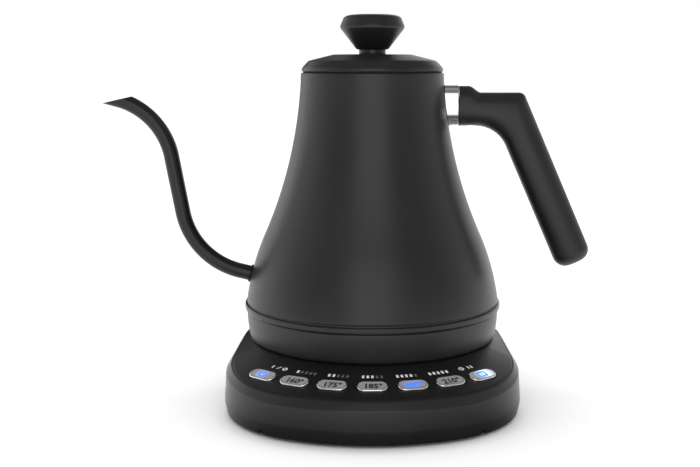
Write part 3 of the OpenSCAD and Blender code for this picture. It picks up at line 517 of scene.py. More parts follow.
def lifted(line, z):
    """Points of (radius, height), measured from a level at z and lifted to it."""
    line = np.array(line, float)
    line[..., 1] += z
    return line


def side_line(start, inset, n):
    """The side's (radius, height) points from a depth below the seam down to the foot, moved in by inset."""
    depth = np.linspace(start, BODY_LEN, n)
    return np.stack([side_radius(depth) - inset, SEAM_H - depth], -1)


outer, inner = side_line(0, 0, 110), side_line(1.0, BODY_WALL, 80)
mouth = np.array([[MOUTH_OUT_R, SEAM_H - 1.0], [MOUTH_OUT_R, MOUTH_H], [MOUTH_R, MOUTH_H], [MOUTH_R, SEAM_H]])
# the lip: its two corners, with five points each
lip = rounded(np.concatenate([mouth[2:], outer[:2]]), [0.3, 0.5, 0.5, 0.1], closed=False)[5:15]
shell = np.concatenate([
    lip, outer[2:-1], [[FOOT_R - 0.05, BODY_BOTTOM_H + 0.15], [FOOT_R - 0.25, BODY_BOTTOM_H]],
    inner[::-1], mouth[:2], [[MOUTH_R + 0.5, MOUTH_H]]])
piece("kettle_shell", Shape().spin(lifted(shell, KETTLE_Z), 256), "kettle", body_black,
      ["kettle_body"])
# a thin bright skin on the inside of the mouth and of the wall
shoulder = side_radius(10.0)
lining = np.concatenate([
    [[MOUTH_R - 0.05, SEAM_H - 1.2], [MOUTH_R - 0.05, MOUTH_H - 0.05], [shoulder - 1.0, MOUTH_H - 1.0]],
    inner[12:] - (0.12, 0), (inner[12:] - (0.02, 0))[::-1],
    [[shoulder - 0.9, MOUTH_H - 0.9], [MOUTH_R + 0.02, MOUTH_H + 0.1], [MOUTH_R + 0.02, SEAM_H - 1.2]]])
piece("kettle_lining", Shape().spin(lifted(lining, KETTLE_Z), 192), "kettle", inner_steel)

band = profile([
    [SKIRT_IN_R, SKIRT_H], [BAND_R - 0.5, SKIRT_H], [BAND_R, SKIRT_H + 0.5], [BAND_R, BAND_TOP_H - 0.5],
    [BAND_R - 0.5, BAND_TOP_H], [FOOT_R - 0.4, BAND_TOP_H], [FOOT_R - 0.4, BODY_BOTTOM_H],
    [SKIRT_IN_R, BODY_BOTTOM_H]], [0.1, 0.4, 0.4, 0.5, 0.4, 0.1, 0.05, 0.1])
piece("trim_band", Shape().spin(lifted(band, KETTLE_Z), 256), "kettle", trim_black, ["body_trim_ring"])

rise = np.linspace(0, 1, 14)
skirt_side = np.stack([SKIRT_FOOT_R + SKIRT_FLARE * (1 - (1 - rise) ** 2), SKIRT_H * rise], -1)
skirt = np.concatenate([
    [[SKIRT_IN_R, 0.4], [SKIRT_IN_R + 0.4, 0.0], [SKIRT_FOOT_R - 0.5, 0.0], [SKIRT_FOOT_R - 0.12, 0.12]],
    skirt_side[1:-1], [[SKIRT_TOP_R - 0.1, SKIRT_H - 0.1], [SKIRT_TOP_R - 0.4, SKIRT_H], [SKIRT_IN_R, SKIRT_H]]])
skirt_shape = Shape().spin(lifted(skirt, KETTLE_Z), 256)
boss_ring = SKIRT_IN_R - 2.8 - 0.3
for turn in np.radians([30, 150, 270]):
    x, y = boss_ring * np.cos(turn), boss_ring * np.sin(turn)
    skirt_shape.post(x, y, KETTLE_Z + 3.8, KETTLE_Z + 15.3, BOSS_R)
piece("skirt", skirt_shape, "kettle", skirt_black, ["bottom_skirt"])

# ---------- spout

TUBE_R, TUBE_WALL = 4.6, 0.8
ROOT_H = 37.0
ROOT_CLIMB = float(side_lean(np.array(SEAM_H - ROOT_H)))
ROOT_R = float(side_radius(np.array(SEAM_H - ROOT_H))) + 1.2
LOW_BEND_R, HIGH_BEND_R = 45.5, 42.9
ROOT_RUN, NECK_RUN, TIP_RUN = 6.3, 34.1, 7.9
NECK_CLIMB, TIP_CLIMB = math.radians(80), math.radians(15)
INLET = 3.5
TIP_CUT, CUT_LIFT, TIP_CROWDING = math.radians(13), 0.3, 1.15
COLLAR_IN_R, COLLAR_R, COLLAR_T = TUBE_R + 0.05, TUBE_R + 0.8, 1.08


def spout_path():
    """The tube's centre line as (reach, height, climb): straight, bend up, straight, bend over, straight.

    A straight runs along (cos, sin) of its climb; a bend adds its radius times the change of (sin, -cos) of the climb.
    """
    at = np.array([ROOT_R - INLET * math.cos(ROOT_CLIMB), ROOT_H - INLET * math.sin(ROOT_CLIMB)])
    parts = []
    for size, start, end, n in (
            (ROOT_RUN + INLET, ROOT_CLIMB, ROOT_CLIMB, 14), (LOW_BEND_R, ROOT_CLIMB, NECK_CLIMB, 60),
            (NECK_RUN, NECK_CLIMB, NECK_CLIMB, 30), (-HIGH_BEND_R, NECK_CLIMB, TIP_CLIMB, 60),
            (TIP_RUN, TIP_CLIMB, TIP_CLIMB, 24)):
        climb = np.linspace(start, end, n)
        if start == end:
            run = np.linspace(0, size, n)[:, None] * (math.cos(start), math.sin(start))
        else:
            run = size * np.stack([np.sin(climb) - math.sin(start), math.cos(start) - np.cos(climb)], -1)
        parts.append(np.column_stack([at + run, climb]))
        at = at + run[-1]
    return np.concatenate(parts).T


def tube_wall(radius):
    """A tube about the spout's centre line: centre + radius (sin t across, cos t along the line's upper normal).

    Each line along the tube ends where it meets the slanting cut through the tip.
    """
    turns, rows = 72, 260
    reach, height, climb = spout_path()
    t = np.arange(turns) * TAU / turns
    x = reach[:, None] - radius * np.cos(t) * np.sin(climb)[:, None]
    z = height[:, None] + radius * np.cos(t) * np.cos(climb)[:, None]
    y = np.broadcast_to(radius * np.sin(t), x.shape)
    lip_x = reach[-1] + TUBE_R * math.sin(TIP_CLIMB)
    lip_z = height[-1] - TUBE_R * math.cos(TIP_CLIMB)
    above = (z - lip_z - CUT_LIFT) - (lip_x - x) * math.tan(TIP_CUT)
    over = above > 0
    over[: len(reach) // 2] = False
    first = np.where(over.any(0), over.argmax(0), len(reach) - 1)
    a, b = above[np.maximum(first - 1, 0), np.arange(turns)], above[first, np.arange(turns)]
    share = np.where(over.any(0), np.clip(a / np.where(a == b, 1, a - b), 0, 1), 1)
    end = first - 1 + share
    u = 1 - (1 - np.linspace(0, 1, rows)) ** TIP_CROWDING
    at = u[:, None] * end[None, :]

    def pick(field):
        """The field between its rows, at each line's own places."""
        low = np.clip(at.astype(int), 0, len(reach) - 2)
        column = np.arange(turns)[None, :]
        return field[low, column] * (1 - at + low) + field[low + 1, column] * (at - low)

    return np.stack([-pick(x), pick(y), pick(z) + KETTLE_Z], -1)


outside, inside = tube_wall(TUBE_R), tube_wall(TUBE_R - TUBE_WALL)
spout = Shape().add(np.concatenate([outside, inside[::-1]]), wrap_rows=True, wrap_columns=True)
piece("spout_pipe", spout, "kettle", spout_black, ["spout_tube"])

root = Matrix.Translation((-ROOT_R, 0, ROOT_H + KETTLE_Z)) @ Matrix.Rotation(-math.pi / 2 + ROOT_CLIMB, 4, "Y")
collar = profile([[COLLAR_IN_R, -COLLAR_T], [COLLAR_R, -COLLAR_T], [COLLAR_R, 0], [COLLAR_IN_R, 0]],
                 [0.05, 0.1, 0.45, 0.15])
piece("spout_washer", Shape().spin(collar, 72, place=root), "kettle", washer_black, ["spout_collar"])

# ---------- handle

GRIP_TOP, GRIP_BOTTOM = -11.5, -31.2
GRIP_START = float(side_radius(np.array(-GRIP_BOTTOM))) + 5.4
GRIP_LEAN = math.radians(23.8)
GRIP_REACH = GRIP_START + 39.2
GRIP_T, GRIP_W, GRIP_LEN = 22.1, 20.0, 107.6
END_R, CORNER_ROUND, UNDER_R, SQUARE_END = 7.4, 4.2, 20.5, 14.0
HEAD_TOP, STEP_AT, STEP_RUN, STEP_DROP = -7.6, 6.2, 7.8, 3.9
ROUNDNESS = 2.2
TONGUE_Z = -19.4
SCREW_X = GRIP_START + 7.5


def resample(line, n):
    """n points at even steps along a polyline."""
    length = np.concatenate([[0], np.cumsum(np.linalg.norm(np.diff(line, axis=0), axis=1))])
    s = np.linspace(0, length[-1], n)
    return np.stack([np.interp(s, length, line[:, 0]), np.interp(s, length, line[:, 1])], -1)


def grip_sections():
    """Facing points on the grip's upper-outer and lower-inner edges, and the direction of its slope.

    The stretches are the level head, the turn, the slope and the last few millimetres, which are cut square.
    """
    down = np.array([math.sin(GRIP_LEAN), -math.cos(GRIP_LEAN)])
    across = np.array([-math.cos(GRIP_LEAN), -math.sin(GRIP_LEAN)])
    end_out = np.array([GRIP_REACH, GRIP_TOP]) + GRIP_LEN * down
    end_in = end_out + GRIP_T * across
    knee = np.array([GRIP_REACH - GRIP_T / math.cos(GRIP_LEAN), GRIP_TOP])
    knee = knee + (GRIP_TOP - GRIP_BOTTOM) / math.cos(GRIP_LEAN) * down
    set_back = math.tan((math.pi / 2 - GRIP_LEAN) / 2)
    t = np.linspace(0, 1, 16)
    step = np.stack([GRIP_START + STEP_AT + STEP_RUN * t, HEAD_TOP - STEP_DROP * (1 - np.cos(np.pi * t)) / 2], -1)
    turn = arc_points((GRIP_REACH - CORNER_ROUND * set_back, GRIP_TOP - CORNER_ROUND),
                      CORNER_ROUND, math.pi / 2, GRIP_LEAN, 14)
    under = arc_points((knee[0] - UNDER_R * set_back, GRIP_BOTTOM - UNDER_R), UNDER_R, math.pi / 2, GRIP_LEAN, 24)
    square = SQUARE_END * down
    stretches = [
        (np.concatenate([[[GRIP_START, HEAD_TOP]], step]), np.stack([(GRIP_START, GRIP_BOTTOM), under[0]]), 30),
        (np.concatenate([step[-1:], turn]), under, 40),
        (np.stack([turn[-1], end_out - square]), np.stack([under[-1], end_in - square]), 80),
        (np.stack([end_out - square, end_out]), np.stack([end_in - square, end_in]), 16)]
    top = np.concatenate([resample(u, n)[:-1] for u, _, n in stretches] + [end_out[None]])
    low = np.concatenate([resample(v, n)[:-1] for _, v, n in stretches] + [end_in[None]])
    return top, low, down


def grip_shape():
    """A bar lofted between its two edge lines: middle + a along the line between them + b across.

    (a, b) runs round |a / h|^n + |b / w|^n = 1, with half height h, half width w and n = ROUNDNESS; the last
    sections shrink along a quarter circle.
    """
    top, low, down = grip_sections()
    middle, half = (top + low) / 2, (top - low) / 2
    last = middle[-1]
    before = (last - middle) @ down > END_R + 0.1
    middle, half = middle[before], half[before]
    height = np.linalg.norm(half, axis=1)
    axis = half / height[:, None]
    width = np.full(len(height), GRIP_W / 2)

    a = np.linspace(0, math.pi / 2, 14)
    end_axis = (top[-1] - low[-1]) / np.linalg.norm(top[-1] - low[-1])
    middle = np.concatenate([middle, last - END_R * (1 - np.sin(a))[:, None] * down])
    axis = np.concatenate([axis, np.broadcast_to(end_axis, (len(a), 2))])
    inset = END_R * (1 - np.cos(a))
    height = np.concatenate([height, GRIP_T / 2 - inset])
    width = np.concatenate([width, GRIP_W / 2 - inset * 1.2])

    t = np.arange(120) * TAU / 120
    bulge = 2 / ROUNDNESS
    u = np.sign(np.cos(t)) * np.abs(np.cos(t)) ** bulge
    v = np.sign(np.sin(t)) * np.abs(np.sin(t)) ** bulge
    along = height[:, None] * u
    # the first two sections give way to a flat front with a small rounding
    grid = np.stack([
        middle[:, :1] + axis[:, :1] * along, width[:, None] * v, middle[:, 1:] + axis[:, 1:] * along + SEAM_Z], -1)
    front = drawn_in(grid[0], 0.0, 0.5, 0.95, 0.99, 1)
    front = [ring + (forward, 0, 0) for ring, forward in zip(front, (0, 0, 0, 0.04, 0.2))]
    back = drawn_in(grid[-1], 0.66, 0.33, 0.0)
    return Shape().add(np.concatenate([front, grid[2:], back]), wrap_columns=True)


screw_pocket = Shape().post(SCREW_X, 0, SEAM_Z + GRIP_BOTTOM - 3, SEAM_Z + GRIP_BOTTOM + 2.0, 3.1, 0.05)
piece("grip", grip_shape(), "kettle", grip_black, ["handle_grip"], [screw_pocket])


def bracket_shape():
    """The stub between body and grip: a rounded rectangle carried from the body's side to the grip.

    It starts at x = sqrt(R(z)^2 - y^2); its lower corners are quarters of an ellipse.
    """
    half_h, half_w = 12.2, 9.0
    corners = [(1, 1, 7.0, 7.0), (-1, 1, 11.5, 9.0), (-1, -1, 11.5, 9.0), (1, -1, 7.0, 7.0)]
    q = np.linspace(0, math.pi / 2, 16)
    quarter = np.stack([np.cos(q), np.sin(q)], -1)
    flips = [quarter, quarter[::-1] * (-1, 1), quarter * (-1, -1), quarter[::-1] * (1, -1)]
    ring = np.concatenate([np.array([up * (half_h - high), side * (half_w - wide)]) + flip * (high, wide)
                           for (up, side, high, wide), flip in zip(corners, flips)])
    rows = []
    for share in (0.0, 0.05, 0.3, 0.6, 0.9, 1.0):
        z, y = ring[:, 0] + TONGUE_Z + 0.1, ring[:, 1]
        start = np.sqrt(side_radius(-z) ** 2 - y ** 2) + 0.05
        rows.append(np.stack([start + (GRIP_START + 0.2 - start) * share, y, z + SEAM_Z], -1))
    grid = np.stack(drawn_in(rows[0], 0.0, 0.5) + rows + drawn_in(rows[-1], 0.5, 0.0))
    return Shape().add(grid, wrap_columns=True)


piece("bracket_stub", bracket_shape(), "kettle", polished, ["handle_bracket"])

# ---------- lid and knob

LID_R = TOP_R - 0.3
BORE_R = 1.55
LID_TOP, NECK_TOP, BORE_TOP, KNOB_TOP = 10.8, 13.7, 26.9, 34.0
lid_line = profile([
    [BORE_R, 9.2], [25.0, 9.1], [LID_R - 6.2, 5.6], [LID_R - 2.4, 2.0], [LID_R - 2.4, 0.06], [LID_R - 1.2, 0.06],
    [LID_R - 1.2, 0.8], [LID_R - 0.5, 0.8], [LID_R, 1.3], [LID_R - 0.5, 3.2], [LID_R - 4.1, 7.1],
    [23.2, LID_TOP], [BORE_R, LID_TOP]], [0.1, 1, 1, 0.1, 0.1, 0.1, 0.1, 0.2, 0.5, 0.9, 1.0, 1.2, 0.05], 9)
piece("lid_cap", Shape().spin(lifted(lid_line, SEAM_Z), 256), "lid", lid_black, ["lid_shell"])
# a black rubber ring just inside the lid's edge; its dark colour paints the shade of the seam line under the lid
seam_shade_gasket = profile([[LID_R - 1.3, 0.05], [LID_R - 0.8, 0.05], [LID_R - 0.8, 0.9], [LID_R - 1.3, 0.9]], 0.04)
piece("lid_seam_shade_gasket", Shape().spin(lifted(seam_shade_gasket, SEAM_Z), 192), "lid", washer_black)
neck_line = profile([[BORE_R, LID_TOP], [7.9, LID_TOP], [7.9, NECK_TOP], [BORE_R, NECK_TOP]], [0.1, 0.25, 0.25, 0.1])
piece("knob_stem", Shape().spin(lifted(neck_line, SEAM_Z), 96), "lid", trim_black, ["knob_neck"])

crown = np.radians(np.linspace(0, 90, 12))
crown_line = np.stack([10.3 + 7.1 * np.cos(crown), BORE_TOP + 4.4 + 2.7 * np.sin(crown)], -1)
knob_line = np.concatenate([
    [[0, BORE_TOP], [1.5, BORE_TOP], [BORE_R, BORE_TOP - 0.1], [BORE_R, NECK_TOP + 0.1], [1.65, NECK_TOP]],
    rounded([[8.0, NECK_TOP], [9.5, 13.9], [19.35, 26.6], [17.4, 31.3]], [0.3, 0.7, 1.3, 0.3], 7, closed=False),
    crown_line[1:], [[5.0, KNOB_TOP], [0, KNOB_TOP]]])
knob_shape = Shape().spin(lifted(knob_line, SEAM_Z), 160, closed=False)
piece("knob", knob_shape, "lid", lid_black, ["lid_knob"])

# ---------- power base

PLACES = 420
TURNS = -np.pi / 2 + np.linspace(-np.pi, np.pi, PLACES, endpoint=False)
FROM_FRONT = np.abs(TURNS + np.pi / 2)
REARWARD = np.clip((FROM_FRONT - math.radians(100)) / math.radians(50), 0, 1)
RIM = 1.5 - 0.9 * REARWARD ** 2 * (3 - 2 * REARWARD)  # the housing's edge round the panel, narrower at the back
LOWER_EDGE_Z, WALL_FOOT_Z = PLATE_TOP - 1.7, 10.4
LEDGE_IN, LEDGE_TOP, LEDGE_LOW, LEDGE_FOOT = -3.4, -2.25, -4.25, -6.25  # heights from the panel down
NOTCH_Y, NOTCH_R = -94.0, 2.3


def outline(offset):
    """The base's outline moved out by offset: front, corner and rear arcs, each centre + radius times the normal."""
    front = FROM_FRONT <= FRONT_TURN
    corner = ~front & (FROM_FRONT < SIDE_TURN + np.pi / 2)
    r = np.where(front, FRONT_R, np.where(corner, CORNER_R, REAR_R)) + offset
    x = corner * np.sign(TURNS + np.pi / 2) * CORNER_X
    return np.stack([x + r * np.cos(TURNS), r * np.sin(TURNS) - corner * CORNER_Y], -1)


def base_shell(corners, radii, steps):
    """A band round the base: a rounded profile of (offset, height) points at each place on the outline.

    A corner is (offset, height, follows): its height is measured from the floor, or from the panel if follows is 1.
    """
    offsets = np.stack([c[0] + np.zeros(PLACES) for c in corners])
    place = outline(offsets)
    radius = np.linalg.norm(place, axis=-1)
    follows = np.array([c[2] for c in corners])[:, None]
    height = np.array([c[1] for c in corners])[:, None] + follows * panel_height(radius)
    line = rounded(np.stack([offsets, height], -1).transpose(1, 0, 2), radii, steps)
    base = outline(0.0)
    step = outline(1.0) - base
    xy = base[:, None, :] + line[..., :1] * step[:, None, :]
    return np.concatenate([xy, line[..., 1:]], -1)


housing = [
    (0.2, LOWER_EDGE_Z, 0), (1.6, LOWER_EDGE_Z, 0), (3.0, 8.2, 0), (1.9, -3.3, 1), (0.6 - RIM, 0, 1), (-RIM, 0, 1),
    (-RIM, LEDGE_TOP, 1), (LEDGE_IN, LEDGE_TOP, 1), (LEDGE_IN, LEDGE_LOW, 1), (-1.5, LEDGE_FOOT, 1),
    (0.6, WALL_FOOT_Z, 0)]
housing_grid = base_shell(housing, [0.1, 0.35, 1.6, 0.4, 0.35, 0.1, 0.1, 0.1, 0.3, 0.5, 2.0], 7)
housing_shape = Shape().add(housing_grid, wrap_rows=True, wrap_columns=True)
for turn in np.radians([-55, -125, 62, 118]):
    in_front = -np.pi - SIDE_TURN < turn < SIDE_TURN
    centre = (np.sign(turn + np.pi / 2) * CORNER_X, -CORNER_Y) if in_front else (0, 0)
    reach = (CORNER_R if in_front else REAR_R) - 4.4
    x, y = centre[0] + reach * np.cos(turn), centre[1] + reach * np.sin(turn)
    housing_shape.post(x, y, PLATE_TOP + 0.05, 12.0, BOSS_R)
GROMMET_Z = (WALL_FOOT_Z + float(panel_height(np.array(REAR_R))) + LEDGE_FOOT) / 2
CORD_HOLE_R, CORD_HOLE_HALF = 5.65, 12.0
rearwards = Matrix.Translation((0, REAR_R, GROMMET_Z)) @ Matrix.Rotation(-math.pi / 2, 4, "X")
hole_line = np.array([[0, -CORD_HOLE_HALF], [CORD_HOLE_R, -CORD_HOLE_HALF],
                      [CORD_HOLE_R, CORD_HOLE_HALF], [0, CORD_HOLE_HALF]])
cord_hole = Shape().spin(hole_line, 64, closed=False, place=rearwards)
notches = [Shape().post(x, NOTCH_Y, PLATE_TOP - 3.0, PLATE_TOP + 0.7, NOTCH_R, 0.3, 24) for x in (-60.9, 60.5)]
piece("housing_wall", housing_shape, "power_base", wall_black, ["base_housing"],
      [cord_hole, *notches])

# ---------- panel and caps

CAP_Z = float(panel_height(np.array(CAP_RING_R)))


def at_cap(k):
    """Where cap k sits: X along the cap and Y towards the kettle; the outer caps are longer."""
    longer = Matrix.Scale(1 + CAP_GROWTH * k * k, 4, (1, 0, 0))
    return Matrix.Rotation(k * CAP_PITCH, 4, "Z") @ Matrix.Translation((0, -CAP_RING_R, 0)) @ longer


def cap_ring(inset, height, shrink=0.0):
    """One ring of a cap, at a height above the panel and on its slope; shrink draws it in towards its centre.

    It has two half circles of radius CAP_W / 2 - inset about the ends of the cap's middle line.
    """
    r = CAP_W / 2 - inset
    a = np.linspace(-np.pi / 2, np.pi / 2, 14)
    right = np.stack([(CAP_L - CAP_W) / 2 + r * np.cos(a), r * np.sin(a)], -1)
    line = np.concatenate([right, -right]) * (1 - shrink)
    return np.column_stack([line, CAP_Z + height + line[:, 1] * SLOPE])


def cap_grid(k, rings):
    """Rings of (inset, height) or (inset, height, shrink) as one grid in cap k's place."""
    return carried(np.stack([cap_ring(*ring) for ring in rings]), at_cap(k))


HOLE_GAP, HOLE_REACH = 0.3, 8.0
holes = Shape()
for k in range(-3, 4):
    ends = ((-HOLE_REACH, 1.0), (-HOLE_REACH, 0.0), (HOLE_REACH, 0.0), (HOLE_REACH, 1.0))
    holes.add(cap_grid(k, [(-HOLE_GAP, height, shrink) for height, shrink in ends]), wrap_columns=True)


def cover_shape():
    """The cover: from the hole for the post over the seat and down the cone to the edge, and back underneath."""
    edge = outline(-RIM - 0.14)
    radius = np.linalg.norm(edge, axis=-1)
    way = edge / radius[:, None]
    hole, blend = 15.3, 1.2

    def ring(r, z):
        """One ring of points, r and z being one number or one for each place on the outline."""
        r = np.broadcast_to(r, radius.shape)
        return np.concatenate([way * r[:, None], np.broadcast_to(z, radius.shape)[:, None]], -1)

    rows = [ring(hole + d, SEAT_Z - drop) for d, drop in ((0, 1.9), (0, 0.3), (0.1, 0.1), (0.3, 0))]
    rows += [ring(r, SEAT_Z) for r in np.linspace(20, SEAT_R - blend, 8)]
    rows += [ring(SEAT_R + d, SEAT_Z - SLOPE * (d + blend) ** 2 / (4 * blend)) for d in np.linspace(-0.8, blend, 6)]
    for share in np.linspace(0.08, 1, 14):
        r = SEAT_R + blend + (radius - 0.35 - SEAT_R - blend) * share
        r = np.maximum(r, SEAT_R + 0.02 + 0.002 * share)
        rows.append(ring(r, panel_height(r)))
    rows += [ring(radius - d, panel_height(radius) - drop) for d, drop in ((0.1, 0.08), (0, 0.3), (0, COVER_T))]
    rows += [ring(r, SEAT_Z - COVER_T) for r in (SEAT_R, hole)]
    return Shape().add(np.stack(rows), wrap_rows=True, wrap_columns=True)


piece("panel", cover_shape(), "power_base", panel_black, ["base_top_cover"], [holes])

EDGE_R, BAND_EDGE_R = 0.6, 0.58
COLUMN_FOOT, STEM_FOOT, STEM_R = -3.2, -7.9, 2.0
FLANGE_FOOT, FLANGE_TOP, FLANGE_OUT = -3.7, -2.75, 1.1


def cap_shape(k):
    """A cap: a pill-shaped column with a rounded edge and a flat, slightly sunk face, over a flange and a stem."""
    column = [(0, COLUMN_FOOT, 1.0), (0, COLUMN_FOOT), (0, -1.0), (0, 0.0), (0, CAP_PROUD - EDGE_R)]
    column += [(EDGE_R * (1 - np.cos(a)), CAP_PROUD - EDGE_R * (1 - np.sin(a)))
               for a in np.linspace(0.2, 1, 6) * np.pi / 2]
    column += [(EDGE_R + inwards, CAP_PROUD - dip) for inwards, dip in ((0.12, 0.01), (0.35, 0.1), (0.6, FACE_DIP))]
    column += [(EDGE_R + 0.6, CAP_PROUD - FACE_DIP, shrink) for shrink in (0.2, 0.5, 1.0)]
    out = -FLANGE_OUT
    flange = [(out, FLANGE_FOOT, 1.0), (out, FLANGE_FOOT), (out, FLANGE_TOP), (0, FLANGE_TOP, 1.0)]
    x, y, _ = at_cap(k).translation
    shape = Shape()
    for rings in (column, flange):
        shape.add(cap_grid(k, rings), wrap_columns=True)
    return shape.post(x, y, CAP_Z + STEM_FOOT, CAP_Z + COLUMN_FOOT, STEM_R)


def cap_rim(k):
    """The bright edge of a cap: a thin closed band that follows the cap's outline, rounded at its top."""
    line = [(-0.03, -0.6)] + [(0.55 - BAND_EDGE_R * np.cos(a), CAP_PROUD - 0.56 + BAND_EDGE_R * np.sin(a))
                              for a in np.linspace(0, np.pi / 2, 7)]
    line += [(0.72, CAP_PROUD - 0.05), (0.8, CAP_PROUD - 0.14), (0.6, CAP_PROUD - 0.4), (0.3, -0.6)]
    return Shape().add(cap_grid(k, line), wrap_rows=True, wrap_columns=True)


CAPS = ["power", *(f"preset_{n}" for n in range(1, 6)), "hold"]
CAP_NODES = ["power_button", *(f"preset_button_{n}" for n in range(1, 6)), "hold_button"]
LIT_CAPS = {  # reach of the glow, strength, colour and how far along the cap its centre lies
    -3: (5.8, 1.0, (0.08, 0.25, 0.8), -0.6),
    1: (8.5, 0.34, (0.07, 0.2, 0.8), 0.0),
    3: (8.5, 1.1, (0.66, 0.84, 1.0), 2.2),
}
for k, name, node in zip(range(-3, 4), CAPS, CAP_NODES):
    finish = cap_silver
    if k in LIT_CAPS:
        reach, strength, colour, aside = LIT_CAPS[k]
        centre = (at_cap(k) @ Vector((aside, 0, CAP_Z + CAP_PROUD))) * MM
        finish = lit_cap("cap_lit_" + name, centre, reach * MM, strength, colour)
    piece("cap_" + name, cap_shape(k), node + "_body", finish, [node])
    piece("rim_" + name, cap_rim(k), node + "_body", rim_silver)

# ---------- legends

PRINT_HALF_T, PRINT_LIFT, FACE_LIFT = 0.03, 0.03, 0.035
FACE = CAP_PROUD - FACE_DIP + FACE_LIFT
FIGURE_SIZE, FIGURE_STRETCH, FIGURE_WEIGHT = 5.7, 0.93, 0.028
LABEL_OUT, LABEL_TURN = 9.8, 0.947
BAR_PITCH, BAR_HALF = 2.5, 1.3


def flat_print(name, mesh, k, up, body, finish, x=0.0, y=0.0):
    """Thin print laid on the panel's slope: moved to (x, y) of cap k's place and lifted by up."""
    place = at_cap(k) @ Matrix.Translation((x, y, CAP_Z + up + y * SLOPE)) @ Matrix.Rotation(PANEL_ANGLE, 4, "X")
    mesh.transform(Matrix.Scale(MM, 4) @ place)
    mesh.update()
    piece(name, mesh, body, finish)


def figures(name, words, size, stretch):
    """Figures as a thin mesh in millimetres, centred on the origin."""
    curve = bpy.data.curves.new(name, "FONT")
    curve.body, curve.size, curve.extrude = words, size, PRINT_HALF_T
    curve.align_x, curve.align_y, curve.resolution_u = "CENTER", "CENTER", 3
    curve.offset = FIGURE_WEIGHT * size
    holder = linked(name, curve)
    mesh = solved_mesh(holder)
    bpy.data.objects.remove(holder)
    bpy.data.curves.remove(curve)
    mesh.transform(Matrix.Diagonal((stretch, 1, 1, 1)))
    return mesh


def strip(points, width, closed=False):
    """A flat ribbon of that width along a line of points: its grid, and whether it closes on itself."""
    points = np.asarray(points, float)
    way = np.roll(points, -1, 0) - np.roll(points, 1, 0) if closed else np.gradient(points, axis=0)
    way /= np.linalg.norm(way, axis=1, keepdims=True)
    side = np.stack([-way[:, 1], way[:, 0]], -1) * width / 2
    grid = np.stack([np.column_stack([points + s * side, np.full(len(points), z * PRINT_HALF_T)])
                     for s, z in ((1, -1), (1, 1), (-1, 1), (-1, -1))])
    if not closed:
        first, last = grid[:, :1], grid[:, -1:]
        grid = np.concatenate([first * 0 + first.mean(0), grid, last * 0 + last.mean(0)], 1)
    return grid, closed


def drawing(name, strips):
    """Ribbons from strip gathered into one mesh that stays in millimetres."""
    shape = Shape()
    for grid, closed in strips:
        shape.add(grid, wrap_rows=True, wrap_columns=closed)
    mesh = shape.mesh(name)
    mesh.transform(Matrix.Scale(1 / MM, 4))
    return mesh


power_arc = arc_points((0, 0), 2.0, math.radians(60), math.radians(-240), 40)
power_mark = drawing("power_mark", [strip(power_arc, 0.6), strip([[0, 0.4], [0, 1.6], [0, 2.8]], 0.6)])
flat_print("power_mark", power_mark, -3, FACE, "power_button_body", lit_deep)
hold_frame = rounded([[-2.3, -1.9], [2.3, -1.9], [2.3, 1.9], [-2.3, 1.9]], 0.8, 6)
hold_mark = drawing("hold_mark", [strip(hold_frame, 0.95, True), strip([[0, 1.1], [0, 0], [1.0, -0.5]], 0.6)])
flat_print("hold_mark", hold_mark, 3, FACE, "hold_button_body", lit_sky)
for k, label in zip(range(-2, 3), ("160", "175", "185", "200", "210")):
    name = "figures_" + label
    flat_print(name, figures(name, label + "°", FIGURE_SIZE, FIGURE_STRETCH), k, FACE, CAP_NODES[k + 3] + "_body",
               lit_blue if k == 1 else dark_ink, x=0.35, y=-0.7)


def panel_print(name, strips, k, finish):
    """Print on the panel, on a ring inside the ring of caps."""
    flat_print(
        name, drawing(name, strips), k * LABEL_TURN, PRINT_LIFT, "power_base", finish, y=LABEL_OUT)


def bar(x, width=1.35):
    """An upright bar, as a ribbon that runs up."""
    return strip([[x, -BAR_HALF], [x, 0], [x, BAR_HALF]], width)


def small_ring(x, radius, width):
    """A closed ribbon round a circle."""
    return strip(arc_points((x, 0), radius, 0, TAU * 35 / 36, 36), width, True)


for count, k in enumerate(range(-2, 3), 1):
    places = (np.arange(5) - 2) * BAR_PITCH
    panel_print(f"level_{count}", [bar(x) for x in places[:count]], k, white_ink)
    if count < 5:
        panel_print(f"level_{count}_rest", [bar(x) for x in places[count:]], k, dim_ink)
slash, hands = strip([[-0.9, -1.4], [0, 0], [0.9, 1.4]], 0.55), strip([[-3.0, 0.9], [-3.0, 0], [-2.3, -0.4]], 0.45)
panel_print("on_off_marks", [bar(-4.0, 0.8), slash, small_ring(4.0, 1.15, 0.7)], -3, white_ink)
panel_print("hold_marks", [small_ring(-3.0, 1.35, 0.55), hands, bar(1.6, 0.9), bar(3.7, 0.9)], 3, white_ink)

# ---------- floor, light and camera

def studio_floor():
    """A wide pale floor that glows a little far from the object; in reflections it carries a painted shade close to
    the object.
    """
    mesh = bpy.data.meshes.new("studio_floor")
    mesh.from_pydata([(-6, -3, 0), (6, -3, 0), (6, 14, 0), (-6, 14, 0)], [], [(0, 1, 2, 3)])
    floor = linked("studio_floor", mesh)
    f = Finish("floor_paper", Roughness=1.0, Specular_IOR_Level=0.0, Emission_Strength=0.15)
    # painted shade: to glossy rays the floor is darkened to a tenth within a small oval just in front of the object
    out_of_painted_shade = f.distance(f.stretched(0.6, 1.0, 1.0), 0.01, -0.13, 0).between(0.04, 0.13)
    far = f.distance(f.place, 0, 0, 0).between(0.4, 1.5)
    glossy = f.node("ShaderNodeLightPath", out="Is Glossy Ray")
    level = 1.0 - glossy * (1.0 - out_of_painted_shade) * 0.9
    floor.data.materials.append(f.feed(
        Base_Color=f.blend(level, grey(0.0), grey(0.9)), Emission_Color=f.blend(far, grey(0.0), grey(1.0))))


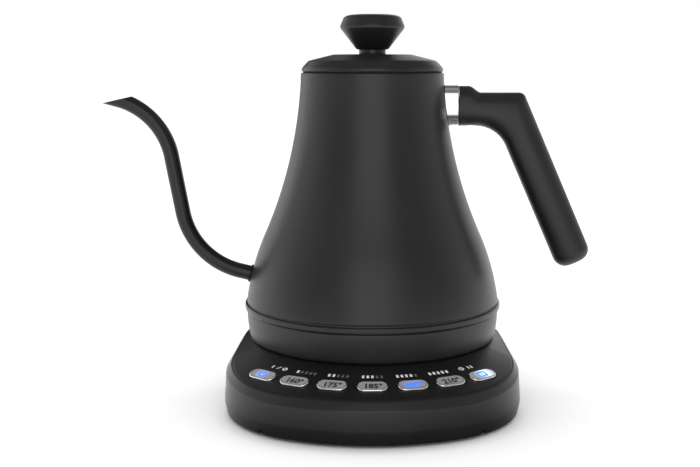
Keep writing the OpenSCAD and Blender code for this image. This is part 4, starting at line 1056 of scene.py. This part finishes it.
def studio_world():
    """White to the camera; as a light and in reflections it is brighter behind the object than in front of it."""
    world = bpy.data.worlds.new("studio")
    bpy.context.scene.world = world
    g = Graph(world)
    split = g.made("ShaderNodeSeparateXYZ", {}, {0: g.node("ShaderNodeTexCoord", out="Generated")})
    x, y, z = (Value(g, split.outputs[axis]) for axis in "XYZ")
    behind = y.between(-0.6, 0.5, 0.37, 1.2)
    above = 1.0 - z.between(0.25, 0.6) * y.between(-0.2, 0.4) * 0.8
    top = 1.0 - z.between(0.62, 0.85) * 0.55
    right = 1.0 - x.between(0.2, 0.9) * 0.3
    left = 1.0 - y.between(0.82, 0.92) * (1.0 - x.between(-0.15, 0.1))
    ray = g.made("ShaderNodeLightPath")
    glossy, camera = Value(g, ray.outputs["Is Glossy Ray"]), Value(g, ray.outputs["Is Camera Ray"])
    mirrored = behind * above * top * right * left
    strength = camera + glossy * mirrored + (1.0 - camera - glossy) * y.between(-0.9, 0.3, 0.58, 1.3)
    g.fill(g.nodes["Background"], {"Color": (1, 1, 1, 1), "Strength": strength})


def softbox(name, place, aim, width, height, watts, mirrored=True):
    """A soft rectangular lamp at place, facing aim."""
    light = bpy.data.lights.new(name, "AREA")
    light.shape, light.size, light.size_y, light.energy = "RECTANGLE", width, height, watts
    lamp = linked(name, light)
    lamp.location = place
    lamp.rotation_euler = (Vector(aim) - Vector(place)).to_track_quat("-Z", "Y").to_euler()
    lamp.visible_glossy = mirrored


studio_floor()
studio_world()
softbox("front_softbox", (-0.02, -1.3, 0.54), (0, 0, 0.2), 1.0, 1.05, 3.2)
softbox("top_softbox", (0.0, 0.5, 1.4), (0, 0, 0.05), 1.2, 0.9, 6, mirrored=False)

FOCAL, SIDE_SHIFT, PICTURE_WIDTH = 1074.4, -22.44, 700  # in pixels
SENSOR = 36
LOOK_DOWN = 8.90
view = bpy.data.cameras.new("camera")
view.sensor_fit, view.sensor_width = "HORIZONTAL", SENSOR
view.lens = FOCAL / PICTURE_WIDTH * SENSOR
view.shift_x = SIDE_SHIFT / PICTURE_WIDTH
view.clip_start, view.clip_end = 0.01, 50
camera = linked("camera", view)
camera.location = (0, -0.6464, 0.19742)
camera.rotation_euler = (math.radians(90 - LOOK_DOWN), 0, 0)
bpy.context.scene.camera = camera
bpy.context.scene.view_settings.view_transform = "Standard"
